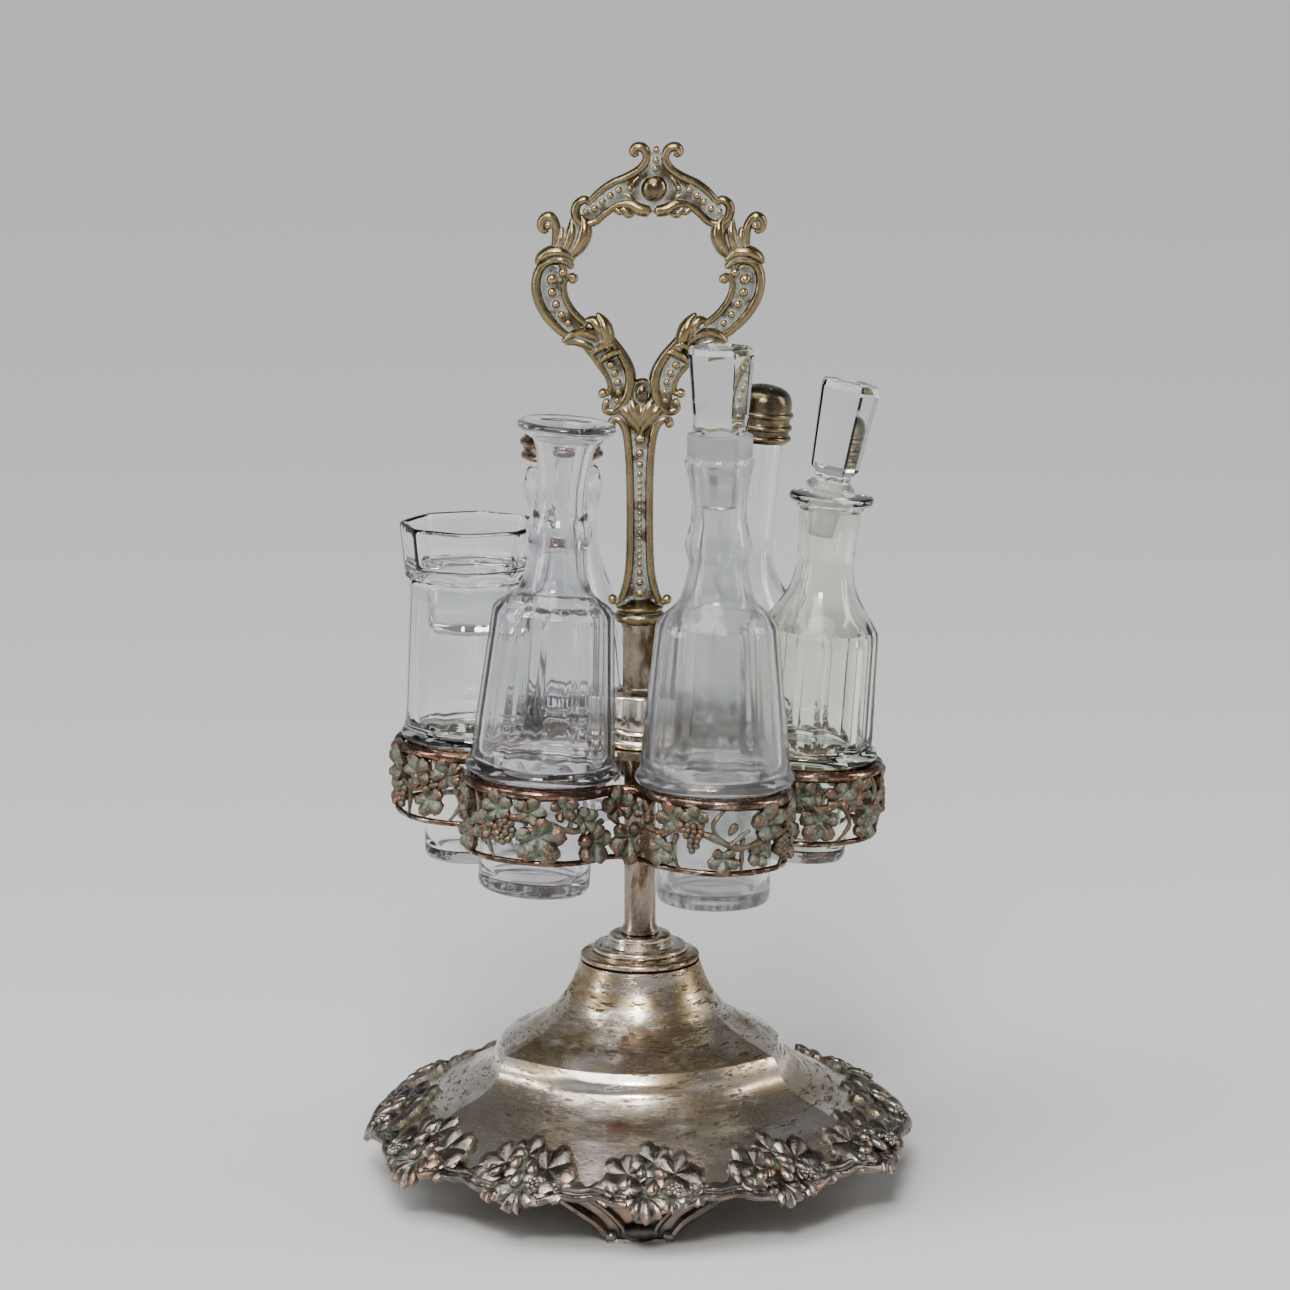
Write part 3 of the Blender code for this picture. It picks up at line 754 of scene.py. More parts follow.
def scroll_foot(name, azimuth, mat):
    """A wide bracket of two scrolls that sweep down to a flat pad, with ribs between them."""
    bm = bmesh.new()
    closed = [(0, 0)] + [tuple(p) for p in smooth(FOOT_HALF, 4)] + [(0, FOOT_TOP)]
    closed += [(-x, z) for x, z in reversed(closed[1:-1])]
    front = [bm.verts.new((x, -3, z)) for x, z in closed]
    back = [bm.verts.new((x, 3, z)) for x, z in closed]
    bm.faces.new(front)
    bm.faces.new(back)
    bridge(bm, front, back)
    for hand in (-1, 1):
        edge, inner, third = (smooth([(hand * x, y, z) for x, y, z in rib], 6)
                              for rib in FOOT_RIBS)
        count = len(edge)
        swell = [1.7 + 0.7 * math.sin(math.pi * i / count) for i in range(count)]
        tube(bm, edge, swell, 9, 1.6)
        tube(bm, inner, 1.5, 9, 1.4)
        tube(bm, third, 1.2, 8, 1.3)
        ball(bm, (hand * 33.6, 0, 20.6), 2.6, (1, 1.5, 1))
    for z, size in ((3.6, 2.1), (8, 2.5), (13.2, 2.9), (19, 2.7)):
        ball(bm, (0, -3, z), size, (1, 0.8, 1.15))
    ball(bm, (0, -4.6, 3.9), 1, (7.6, 2.3, 3.6), 3)
    for hand in (-1, 1):
        ball(bm, (hand * 10.9, -4, 2.4), 2.3, (1.1, 1, 1))
    pad = [(-12.3, -5.6), (12.3, -5.6), (13, 0), (12.3, 5.6), (-12.3, 5.6), (-13, 0)]
    base = [bm.verts.new((x, y, 0)) for x, y in pad]
    top = [bm.verts.new((x * 0.93, y * 0.9, 1.5)) for x, y in pad]
    bm.faces.new(base)
    bm.faces.new(top)
    bridge(bm, base, top)
    x, y = direction(azimuth)
    place = Matrix.Translation((x * FOOT_R * MM, y * FOOT_R * MM, 0)) @ rotation(0, 0, azimuth)
    new_piece("scroll_" + name, bm, mat, "stand", [name], place)


# ---------------------------------------------------------------- stem

def stem(plate, stem_metal, brass):
    top = DOME_TOP + 0.3
    rings = [(ROD_BORE_R, top)]
    rings += arc_corner(22.3, top + 1.3, 1.3, -90, 90)
    rings += arc_corner(19.6, top + 3.2, 0.9, 200, 160, 3)
    rings += arc_corner(17.2, top + 4.5, 1.5, -60, 90)
    rings += [(13.6, top + 6)]
    rings += arc_corner(10.9, top + 8.9, 1.5, -30, 90)
    rings += [(8, top + 10.4), (ROD_BORE_R, top + 10.4)]
    new_piece("stepped_collar", spin(rings, 96), plate, "stand", ["base_collar"])
    low = top + 10.7
    line = [(ROD_BORE_R, low), (7.4, low), (7.5, low + 1), (6.9, low + 2.2),
            (6.2, low + 3.6), (6.2, 120), (6.2, 150), (6.2, 170.6), (5.9, 171),
            (ROD_BORE_R, 171)]
    new_piece("round_stem", spin(line, 48), stem_metal, "stand", ["lower_stem"])

    def octagon(r, z, turn):
        return r * facet(turn, 8)

    foot = PIVOT_HEIGHT + HUB_HALF + 1.2
    line = [(ROD_BORE_R, foot), (7.5, foot), (7.5, foot + 0.8), (7.2, foot + 1.2), (7.2, 223.2),
            (7.5, 223.6), (7.5, 224.2), (ROD_BORE_R, 224.2)]
    new_piece("octagonal_stem", spin(line, 64, octagon), stem_metal, "stand",
              ["upper_stem"], sharp_deg=20)
    disc = [(ROD_BORE_R, 224.5)] + arc_corner(7.9, 226.7, 2.1, -90, 90) + [(ROD_BORE_R, 228.9)]
    new_piece("handle_disc", spin(disc, 64), brass, "stand", ["handle_collar"])


def facet(turn, count, phase=0.5):
    """Scale that turns a circle into a regular polygon of the same corner radius."""
    step = 2 * math.pi / count
    off = (turn / step + phase) % 1.0 - 0.5
    return math.cos(step / 2) / math.cos(off * step)


# ---------------------------------------------------------------- handle

RAIL_FAT = 1.2                 # how much fuller the cast rails are than their drawn radii
BEND_LOW = 285.0               # the casting is straight below, and fully bent above BEND_HIGH
BEND_HIGH = 320.0
BEND_SLOPE = 0.060
CHANNEL_HALF = 1.3             # half the thickness of the sunk floors between the rails


def handle_drift(height):
    """How far the casting has bent to +X at a height above the table."""
    share = ramp(height, BEND_LOW, BEND_HIGH)
    return BEND_SLOPE * (height - BEND_LOW - 0.5 * (BEND_HIGH - BEND_LOW) * share) * share


def handle(brass, floor):
    """Cast openwork: beaded shaft, two S-arms, C-scrolls, leaves and a crown with a ball.

    Its outlines are (half width, height above the table); each is drawn with its mirror image."""
    bm = bmesh.new()

    def rail(points, radii, squash=1.5):
        if not hasattr(radii, "__len__"):
            radii = [radii] * len(points)
        for hand in (-1, 1):
            path = smooth([(hand * x, 0, z, RAIL_FAT * r)
                           for (x, z), r in zip(points, radii)], 5)
            tube(bm, [p[:3] for p in path], [p[3] for p in path], 10, squash)

    def beads(row, face=1.7):
        """Beads (half width, height, radius) on both faces."""
        for x, z, r in row:
            for hand in ((-1, 1) if x else (1,)):
                for way in (-1, 1):
                    ball(bm, (hand * x, way * face, z), r, (1, 1.1, 1))

    def channel(outer, inner):
        """A sunk floor between two lines."""
        count = 26
        lines = []
        for line in (outer, inner):
            fine = smooth(line, 10)
            lines.append([fine[round(i * (len(fine) - 1) / count)] for i in range(count + 1)])
        for hand in (-1, 1):
            rows = []
            for a, b in zip(*lines):
                rows.append([bm.verts.new((hand * p[0], way * CHANNEL_HALF, p[1]))
                             for p, way in ((a, -1), (b, -1), (b, 1), (a, 1))])
            for low, high in zip(rows, rows[1:]):
                for i in range(4):
                    j = (i + 1) % 4
                    face = bm.faces.new((low[i], low[j], high[j], high[i]))
                    face.material_index = 1
            bm.faces.new(rows[0])
            bm.faces.new(rows[-1])

    # shaft
    spin([(0, 229.8), (9, 229.8), (9.3, 230.6), (8.4, 231.4), (5.6, 232.2), (4.2, 233.6),
          (0, 234.4)], 32, bm=bm)
    shaft = [(10.8, 233.9), (9, 232.3), (7, 233.6), (5.3, 238.6), (4.1, 245), (3.6, 255),
             (3.5, 272), (3.8, 286), (4.6, 296), (6, 301.6), (8.4, 304.3), (10.8, 304),
             (11.6, 302.2)]
    rail(shaft, [1.2, 1.2, 1.3, 1.4, 1.45, 1.45, 1.45, 1.45, 1.5, 1.6, 1.5, 1.3, 1.1], 1.7)
    channel(shaft[2:10], [(0, z) for _, z in shaft[2:10]])
    beads([(10.6, 233.4, 1.9), (11.2, 302.6, 1.8)], face=0.6)
    beads([(0, z, r) for z, r in ((231.6, 2), (236, 1.9), (240.4, 1.6), (244.3, 1.35),
                                  (247.6, 1.1), (283.2, 1.15), (286.9, 1.4), (291.3, 1.65),
                                  (296.9, 2.1))])
    beads([(0, 250.2 + 2.5 * i, 0.9) for i in range(13)])
    # calyx and knob over the shaft
    rail([(0.5, 299.6), (3, 303.6), (5.8, 307.6), (8.6, 309.6)], [1.2, 2.2, 2.4, 1.4], 1.4)
    rail([(0.8, 301.5), (1.8, 306), (3.6, 310.2), (5.4, 312.2)], [1.6, 2.6, 2.3, 1.2], 1.4)
    ball(bm, (0, 0, 306.4), 1, (2.6, 3.6, 4.2), 3)
    for way in (-1, 1):
        ball(bm, (0, way * 1.6, 314.6), 1, (2.7, 2.4, 3.6), 3)
    rail([(0.2, 310.2), (3.3, 311.6), (3.9, 315.2), (2.4, 318.4), (0, 319.4)], 0.9, 2)
    # S-arms
    inner = [(13.6, 310.9), (13.4, 308.2), (10.8, 307.4), (8, 309.2), (5.7, 313), (4.7, 318.4),
             (5.4, 323.4), (8, 328.6), (11.6, 333.2), (14.4, 337)]
    outer = [(14.8, 314.6), (12.8, 314.6), (12.2, 317.6), (13.6, 321.4), (16.4, 325.2),
             (20.2, 330), (23, 333)]
    rail(inner, [1.2, 1.5, 1.6, 1.8, 1.95, 2, 1.95, 1.8, 1.7, 1.5], 1.4)
    rail(outer, [1.1, 1, 1.1, 1.2, 1.3, 1.3, 1.2], 1.5)
    channel([(12.6, 309), (11.9, 313), (12.2, 317.6), (13.6, 321.4), (16.4, 325.2),
             (20.2, 330)],
            [(8.6, 309), (6.2, 313), (5.2, 318.4), (5.9, 323.4), (8.4, 328.6), (12, 333.2)])
    beads([(12.6, 325.7, 1.7), (10.8, 322.5, 1.65), (9.5, 319, 1.55), (8.9, 315.2, 1.45),
           (9.3, 311.8, 1.35)])
    beads([(15, 314.4, 1.9), (13.4, 311, 1.5)], face=0.8)
    for x, z in ((12.2, 329.2), (15.6, 332)):
        rail([(x - 4.4, z + 0.4), (x - 1.4, z + 1.6), (x + 1.8, z + 0.2), (x + 4.6, z - 2.6)],
             [0.9, 1.8, 1.9, 1], 2.1)
    # lower calyx
    rail([(31.4, 334.6), (28.6, 337), (24.6, 338.2), (20.6, 337.2), (17.4, 334.6)],
         [0.9, 1.6, 1.9, 1.9, 1.3], 2)
    rail([(30.6, 334.2), (26.4, 334.8), (22, 333.6), (18.6, 331.6)], [0.9, 1.7, 1.8, 1.3], 1.8)
    rail([(13.8, 331.6), (14.6, 336.6), (16.4, 341.4), (18.8, 345.2)], [1.6, 2.5, 2.2, 0.8], 1.6)
    rail([(17, 335.6), (17.8, 339.8), (20.4, 342.6), (23.4, 342.4)], [1.4, 2, 1.7, 0.8], 1.7)
    rail([(14.4, 335), (14.6, 338.6), (13.4, 341)], [1.2, 1.4, 0.7], 1.6)
    # C-scrolls
    inner = [(28.9, 359.4), (31.2, 359.2), (32.6, 356.4), (31.4, 350.8), (27.8, 345.4),
             (23, 341.2)]
    outer = [(32.4, 362.4), (34.2, 365.2), (38.2, 365.6), (41.8, 362.6), (43, 357.2),
             (42, 351.4), (38.4, 344.8), (32.6, 338.8), (27.4, 335.6)]
    rail(inner, [1.5, 1.2, 1.2, 1.25, 1.3, 1.2], 1.5)
    rail(outer, [1.5, 1.4, 1.5, 1.6, 1.7, 1.75, 1.75, 1.6, 1.3], 1.5)
    channel([(38.2, 364.6), (41.2, 361.8), (42, 357.2), (41.2, 351.4), (37.8, 345),
             (32.4, 339.2), (27.4, 336.4)],
            [(33, 361.6), (33.2, 359.2), (32.9, 356.4), (31.7, 350.8), (28, 345.2),
             (24.6, 341.6), (22.4, 339.8)])
    beads([(33, 361.4, 1.9), (37, 358.8, 2.3), (36.7, 353.8, 1.9), (34.9, 349.2, 1.75),
           (32.6, 345.2, 1.6), (29.9, 341.9, 1.45)])
    beads([(28.9, 358.8, 2)], face=0.5)
    # upper calyx and its outer curl
    rail([(29.4, 366.2), (33, 369), (37.6, 369.2), (41.6, 367.2), (43.2, 364.6)],
         [1.3, 2.1, 2.2, 1.8, 0.9], 1.9)
    rail([(29.6, 363.4), (33.6, 366.2), (38.6, 366)], [1.1, 1.7, 1.2], 2)
    rail([(31.6, 367), (28, 370.6), (25.9, 375.2), (25.8, 379.8), (27.4, 383)],
         [1.5, 2.4, 2.7, 2.1, 0.9], 1.5)
    rail([(33.4, 368.4), (31.4, 373), (30.4, 377.6), (30.8, 381.6)], [1.4, 2.1, 1.9, 0.7], 1.6)
    rail([(35.6, 369.6), (34.4, 374.2), (34.4, 378.2)], [1.2, 1.6, 0.8], 1.6)
    rail([(36.8, 369.6), (36.4, 374.6), (36.8, 379.4), (39.2, 382.8), (42, 381.6), (42.2, 378.4),
          (40.2, 377.2)], [1.2, 1.4, 1.5, 1.6, 1.5, 1.4, 1.2], 1.5)
    beads([(39.6, 379.4, 1.7)], face=0.9)
    # arch with the crown's curls
    outer = [(7.4, 406.4), (8.9, 407.4), (7.8, 409.2), (5.2, 409), (3.6, 406.6), (3.7, 403.8),
             (6.2, 400.6), (10.6, 397.9), (16.2, 395.4), (20.8, 392), (24, 388.6)]
    inner = [(1.6, 384.9), (5, 385.6), (8.6, 387.4), (13.4, 387.2), (18.2, 384), (22, 380.8),
             (26.4, 380.2), (29.4, 383.2), (29.2, 387.2), (26.2, 389.2), (23.8, 387.4)]
    rail(outer, [1.2, 1.4, 1.6, 1.6, 1.5, 1.45, 1.45, 1.45, 1.4, 1.35, 1.2], 1.5)
    rail(inner, [2.1, 2.3, 1.9, 1.4, 1.4, 1.5, 1.6, 1.6, 1.5, 1.4, 1.1], 1.5)
    channel([(0, 409), (3, 406.4), (4, 402.8), (9.6, 397.9), (16.2, 394.8), (20.8, 391.4),
             (26, 388)],
            [(0, 386), (2, 386.4), (7, 387.4), (12.6, 387.2), (18.2, 384.4), (22, 381.4),
             (26.4, 381)])
    rail([(11.6, 386.2), (9.2, 383.8), (7, 384.6)], [1.3, 1.6, 1], 1.6)
    rail([(14.8, 386.4), (12.6, 384.6), (10.6, 385)], [1, 1.3, 0.8], 1.6)
    rail([(9.8, 392.6), (8.2, 395.6), (5.8, 398.4)], [1.3, 1.1, 0.7], 1.5)
    rail([(7.4, 388), (9.4, 390.6), (12.2, 391.4)], [1.2, 1.1, 0.7], 1.5)
    beads([(9.3, 393.8, 1.2), (13.5, 393.1, 1.5), (16.6, 391, 1.5), (19.4, 388.6, 1.5),
           (22.3, 386, 1.5), (25.6, 384.8, 1.2)])
    for way in (-1, 1):
        ball(bm, (0, way * 1.2, 393.6), 5.1, (1, 0.85, 1), 3)
    beads([(0, 401.2, 1.45), (0, 404.6, 1.45), (0, 408.4, 1.2)])
    for v in bm.verts:
        v.co.x += handle_drift(v.co.z)
    obj = new_piece("openwork_handle", bm, brass, "stand", ["handle"], sharp_deg=55)
    obj.data.materials.append(floor)


# ---------------------------------------------------------------- carousel

HOLDER = (Matrix.Translation((0, 0, PIVOT_HEIGHT * MM))
          @ rotation(-HOLDER_LEAN_BACK, HOLDER_LEAN_RIGHT, 0)
          @ Matrix.Translation((0, 0, -PIVOT_HEIGHT * MM)))


def holder_path():
    """The rail's centre line as (point, outward normal), a millimetre apart, as on_band needs."""
    half_pitch = math.pi / SEAT_COUNT
    across = SEAT_RADIUS * math.sin(half_pitch)
    along = SEAT_RADIUS * math.cos(half_pitch)
    reach = math.sqrt((LOBE_R + WEB_R) ** 2 - across**2)
    lean = math.atan2(across, reach)
    path = []
    for k in range(SEAT_COUNT):
        out = math.radians(FIRST_SEAT_AZIMUTH - 90) + 2 * half_pitch * k
        centre = Vector((math.cos(out), math.sin(out))) * SEAT_RADIUS
        sweep = half_pitch + lean
        count = round(2 * sweep * LOBE_R)
        for i in range(count):
            a = out + sweep * (2 * i / count - 1)
            normal = Vector((math.cos(a), math.sin(a)))
            path.append((centre + normal * LOBE_R, normal))
        middle = out + half_pitch
        centre = Vector((math.cos(middle), math.sin(middle))) * (along + reach)
        count = round(2 * lean * WEB_R)
        for i in range(count):
            a = middle + math.pi + lean * (1 - 2 * i / count)
            inward = Vector((math.cos(a), math.sin(a)))
            path.append((centre + inward * WEB_R, -inward))
    return path


PATH = holder_path()


def on_band(s, z, out):
    """A point on the frieze's band: s millimetres along it, at height z, out from its centre."""
    i = math.floor(s) % len(PATH)
    j = (i + 1) % len(PATH)
    share = s - math.floor(s)
    point = PATH[i][0].lerp(PATH[j][0], share)
    normal = PATH[i][1].lerp(PATH[j][1], share).normalized()
    return Vector((point.x + normal.x * out, point.y + normal.y * out, z))


def holder_rail(name, height, radius, mat, shift=0.0):
    """A cast rail; shift moves a fuller one outwards, so its inner face stays put."""
    rng = random.Random(name)
    bm = bmesh.new()
    phases = [rng.uniform(0, 6.28) for _ in range(3)]
    points = []
    radii = []
    for i in range(0, len(PATH), 2):
        sag = 0.25 * math.sin(i * 0.045 + phases[0]) + 0.12 * math.sin(i * 0.16 + phases[1])
        points.append(on_band(i, height + sag, shift + 0.15 * math.sin(i * 0.09 + phases[2])))
        radii.append(radius * (1 + 0.05 * math.sin(i * 0.3 + phases[1])))
    tube(bm, points, radii, 12, closed=True)
    new_piece(name + "_wire", bm, mat, "carousel", [name], HOLDER)


# What the two kinds of lobe hold, first the even one; distances along run from the lobe's middle
STRIP_LEAVES = (               # along, up, size, turn and, where it isn't 0.3, the lift
    ((-29, 6.4, 6.6, 1.9), (-33, -5.2, 6, -2), (-20, 7.2, 5.2, 1.6, 1), (-9, -7, 6.2, -1.6),
     (9.4, 5, 8, 1.5), (6, -5.6, 5.6, -2.4), (24, 5.2, 7.4, 0.9), (30, -4.4, 7.2, -0.8),
     (38, 5.6, 6.4, 1.8)),
    ((-37, -4, 7.6, -2.2), (-30, 4.6, 6.4, 1.2), (-20, 6.2, 6, 1.9), (-16.5, -5.4, 6.6, -1),
     (0.5, 7, 6.6, 1.8), (-5.5, -0.5, 6, 2.9), (16.4, -2.4, 9.4, -1.2, 0.6),
     (13, 6.4, 5.8, 1.2), (25, 8.2, 5.8, 0.4), (39, -5.4, 8.2, -1), (34, 3, 5.4, 0.7)),
)
STRIP_GRAPES = (               # along, up, lift, size, the way it hangs, rows
    ((-20, 5.4, 1, 1.45, -1.57, (3, 3, 3, 2, 2, 1)),
     (15.6, -1, 0.9, 1.5, -1.3, (2, 3, 3, 2, 1))),
    ((5.6, 2.6, 0.9, 1.5, -1.95, (2, 3, 4, 3, 2)),),
)
STRIP_BUDS = (                 # along, up, length, width, turn
    ((-6, 4.4, 2.8, 1.6, 1),),
    ((-24, 0.5, 2.6, 1.7, 0.6),),
)
STRIP_TWIGS = (                # thickness, points as (along, up, out)
    ((1.65, ((-44, 1.6, 0.4), (-34, 0.4, 0.8), (-26, 3.6, 0.8), (-14, 1.6, 1.2), (-5, -2.6, 1),
             (3, -1.6, 1.2), (11, 1, 0.8), (22, -1.4, 0.8), (33, 1.6, 0.6), (44, 3, 0.4))),
     (1.15, ((-7, -2.2, 1), (-3.4, 1.4, 1.2), (0.4, 3.8, 0.8)))),
    ((1.65, ((-44, 3, 0.4), (-36, 1, 0.9), (-26, 3.4, 0.6), (-14, -1, 0.9), (-4, 3, 0.4),
             (8, 4.4, 1), (20, 2.6, 1.2), (30, -0.4, 0.9), (44, 1.6, 0.4))),),
)
WEB_SWEEP = 61.4               # how far the path turns about a web, degrees


def frieze(mat):
    """Pierced band: a vine with leaves and bunches between the rails, in strips of two lobes."""
    rng = random.Random(11)
    bm = bmesh.new()
    low, high = BOTTOM_RAIL_HEIGHT + 0.6, RAIL_HEIGHT - 1.2
    middle = (low + high) / 2
    length = len(PATH)
    lobe = length / SEAT_COUNT
    web = math.radians(WEB_SWEEP) * WEB_R

    def patch_at(s, up, lift_mm=0.2):
        def mapping(x, y, out):
            return on_band(s + x, middle + up + y, out + lift_mm)
        return mapping

    def twig(points, thick):
        """Points are (distance along, height off the middle, distance out)."""
        path = [on_band(p[0], middle + p[1], p[2]) for p in smooth(points, 5)]
        count = len(path)
        tube(bm, path, [thick * (1 + 0.18 * math.sin(i * 1.3)) * (1 - 0.35 * i / count)
                        for i in range(count)], 8)

    def leaf(s, up, size, turn, lift_mm=0.3):
        vine_leaf(bm, patch_at(s, up, lift_mm), size * rng.uniform(1.04, 1.2),
                  turn + rng.uniform(-0.2, 0.2), 0.52, 0.9)

    for k in range(SEAT_COUNT):
        mid = (k + 0.5) * lobe - web
        for at, up, size, turn, *lifted in STRIP_LEAVES[k % 2]:
            leaf(mid + at, up, size, turn, *lifted)
        for at, up, lifted, size, turn, rows in STRIP_GRAPES[k % 2]:
            grapes(bm, patch_at(mid + at, up, lifted), size, turn, rows, 0.3)
        for at, up, long, wide, turn in STRIP_BUDS[k % 2]:
            bud(bm, patch_at(mid + at, up), (0, 0), long, wide, turn, 0.6)
        for thick, points in STRIP_TWIGS[k % 2]:
            twig([(mid + at, up, out) for at, up, out in points], thick)
        turn = mid + lobe / 2
        leaf(turn - 2.6, 6.4, 7.6, 2)
        leaf(turn + 2.2, -5.2, 9, -1.4)
        leaf(turn + 9.5, 5.4, 6.2, 0.9)
        for at, up, hand in ((-40, 0, 1), (-27, 1, -1), (-11, 0, 1), (-2, 1, -1), (12, 2, 1),
                             (20, 2, -1), (28, 0, 1), (41, 1, -1), (52, 0, 1)):
            edge = high - middle if hand > 0 else low - middle
            sway = rng.uniform(-2.5, 2.5)
            twig([(mid + at, up, 0.3), (mid + at + sway, (up + edge) / 2, 0.9),
                  (mid + at - sway, edge, 0)], 1)
    new_piece("vine_frieze", bm, mat, "carousel", ["frieze"], HOLDER)


def hub(plate):
    line = [(9.3, -HUB_HALF)] + arc_corner(12.2, -9.7, 0.8, -90, 0)
    line += arc_corner(12.9, -8.4, 0.75, -80, 80)
    line += [(12.7, -7.2), (12.9, -5.6), (12.9, -4.6), (12.2, -4), (12.1, -3.4), (12.5, -2.8),
             (13, -2), (13.1, 2), (13, 7.6)] + arc_corner(11.8, 9.3, 1.2, 0, 90)
    line += [(9.3, HUB_HALF)]
    place = HOLDER @ Matrix.Translation((0, 0, PIVOT_HEIGHT * MM))
    new_piece("turned_hub", spin(line, 72), plate, "carousel", ["hub_drum"], place)


# ---------------------------------------------------------------- vessels

FLUTE_ARCH = 6.0               # how far a flute's round top falls towards its sides


def vessel_place(vessel):
    index, lean = VESSELS[vessel]
    x, y = direction(FIRST_SEAT_AZIMUTH + 360.0 * index / SEAT_COUNT)
    raised = BEAD_R * math.sin(math.radians(abs(lean)))
    spot = (x * SEAT_RADIUS * MM, y * SEAT_RADIUS * MM, (SEAT_HEIGHT + raised) * MM)
    return HOLDER @ Matrix.Translation(spot) @ rotation(0, lean, 0)


def fluted(count, low, high, depth):
    """Shape for concave flutes between two heights, with round tops."""
    step = 2 * math.pi / count

    def shape(r, z, turn):
        across = 2 * ((turn / step) % 1) - 1
        crown = high - FLUTE_ARCH * across * across
        fade = ramp(z, crown, crown - 1.6) * ramp(z, low, low + 3)
        scoop = max(0, 1 - across * across)
        return r - depth * fade * scoop**0.8
    return shape


def fluted_outside(high, depth, wall_r, shoulder):
    """Eighteen flutes on the outside of a bottle's wall, whose radius shrinks over its shoulder."""
    shape = fluted(18, 7, high, depth)

    def outside_only(r, z, turn):
        inside_r = wall_r - 0.9 * max(0, z - shoulder) + 0.05 * (shoulder - 2 - z)
        return shape(r, z, turn) if r > inside_r else r
    return outside_only


def faceted(r, turn, weight, count=8, phase=0.5):
    """A round radius drawn towards a polygon by weight, 0 to 1."""
    return r * (1 + weight * (facet(turn, count, phase) - 1))


def densify(profile, step=1.6):
    """Splits long straight stretches so that flutes and facets have rows to show on."""
    out = []
    for a, b in zip(profile, profile[1:]):
        count = max(1, math.ceil(math.dist(a, b) / step))
        for i in range(count):
            t = i / count
            out.append((a[0] + (b[0] - a[0]) * t, a[1] + (b[1] - a[1]) * t))
    return out + [profile[-1]]


def oil_bottle(mat):
    outer = outline(
        [(0, -44.6), (15, -44.8)], [(17.8, -45.8), (20.4, -45), (21.4, -42.8)],
        [(21.4, -40), (21.4, -1)], [(22.2, 0), (28, 0.1), (29.3, 1.8), (28.6, 3.8), (27.6, 5)])
    cone = outline(
        [(27.5, 6), (23.2, 61.5)],
        [(22.9, 62.8), (21.3, 64.8), (18, 67), (15, 69.4), (13, 72.8), (11.8, 78),
         (11, 84), (11.3, 88), (12.5, 92), (12, 95.6), (10.4, 99.4), (9.6, 105),
         (9.8, 114), (10.9, 123.6)],
        [(12.4, 127.6), (16.4, 130), (18.5, 132), (18.2, 133.9), (16.8, 134.6), (14.2, 133.4),
         (10.4, 129.2), (8.4, 124), (6.8, 112), (6.6, 104), (7.3, 94), (7.8, 86), (8.8, 79),
         (10.4, 73.6), (13.6, 69.2), (17.4, 65.4), (19.3, 62)],
        [(19.8, 60), (23.6, 8)], [(23.2, 4), (20.4, -0.5), (18.6, -5)], [(18.4, -8), (18.4, -37)],
        [(17.6, -40), (12, -41.6), (0, -42)])
    bm = spin(densify(outer) + densify(cone), 128, fluted_outside(66, 0.45, 22.2, 62))
    new_piece("fluted_oil_bottle", bm, mat, "oil_bottle", ["oil_bottle"],
              vessel_place("oil"))


def vinegar_bottle(mat, ground):
    outer = outline(
        [(0, -44.8), (15, -45)], [(18, -46.2), (20.8, -45.6), (21.7, -43.2)],
        [(21.7, -40), (21.7, -1)], [(22.4, 0), (29, 0.1), (30.4, 1.9), (29.6, 3.9), (28.6, 5)],
        [(28.5, 6), (23.3, 59.6)],
        [(23, 61), (21.6, 62.9), (18.4, 65.8), (15.6, 68.4), (13.8, 71.4), (12.6, 75.6),
         (11.4, 80.4), (11.1, 84.4), (12, 88), (12.6, 91.2), (11.8, 95), (10.5, 101),
         (10.5, 108), (11.9, 117.5), (13.2, 121.8), (12.9, 123.6)],
        [(12.3, 124.4), (12.4, 132.2)],
        [(12.2, 132.9), (9.6, 133.1), (8.8, 132.6), (8.4, 128), (7.3, 108), (7.2, 98), (8.2, 91),
         (7.9, 85), (9.2, 77.6), (10.8, 72.4), (13.8, 67.8), (17.6, 63.8), (19.6, 60.8)],
        [(20, 58), (24.4, 8)], [(24, 4), (20.8, -0.5), (18.8, -5)], [(18.6, -8), (18.6, -37.4)],
        [(17.8, -40.4), (12, -42), (0, -42.4)])
    place = vessel_place("vinegar")
    bm = spin(densify(outer), 128, fluted_outside(64.5, 0.42, 22.4, 60))
    obj = new_piece("hazy_vinegar_bottle", bm, mat, "vinegar_bottle",
                    ["vinegar_bottle"], place)
    two_tone(obj, ground, place, 124, above=True)
    body = [(0, 105.2), (5.8, 105.2), (6.3, 105.8), (7.7, 131.4), (7.1, 133), (7.1, 133.8),
            (10.7, 134.6), (13.3, 163.6), (12.2, 165.6), (0, 165.6)]
    prism_stopper("vinegar", body, WORN_GROUND, place, 134, 135.5, 133.4)


def two_tone(obj, mat, place, level, above=False):
    """Gives the faces above or below a level of a vessel's own axis a second material."""
    obj.data.materials.append(mat)
    inverse = place.inverted()
    for face in obj.data.polygons:
        if ((inverse @ face.center).z > level * MM) == above:
            face.material_index = 1


def prism_stopper(vessel, body, ground, place, low, high, level):
    """A turned body that gains eight facets from low to high; its peg is ground up to level."""
    def octagon(r, z, turn):
        return faceted(r, turn, ramp(z, low, high))
    obj = new_piece(vessel + "_prism_stopper", spin(densify(body, 3), 64, octagon), CLEAR,
                    vessel + "_stopper", [vessel + "_stopper"], place,
                    sharp_deg=18)
    two_tone(obj, ground, place, level)


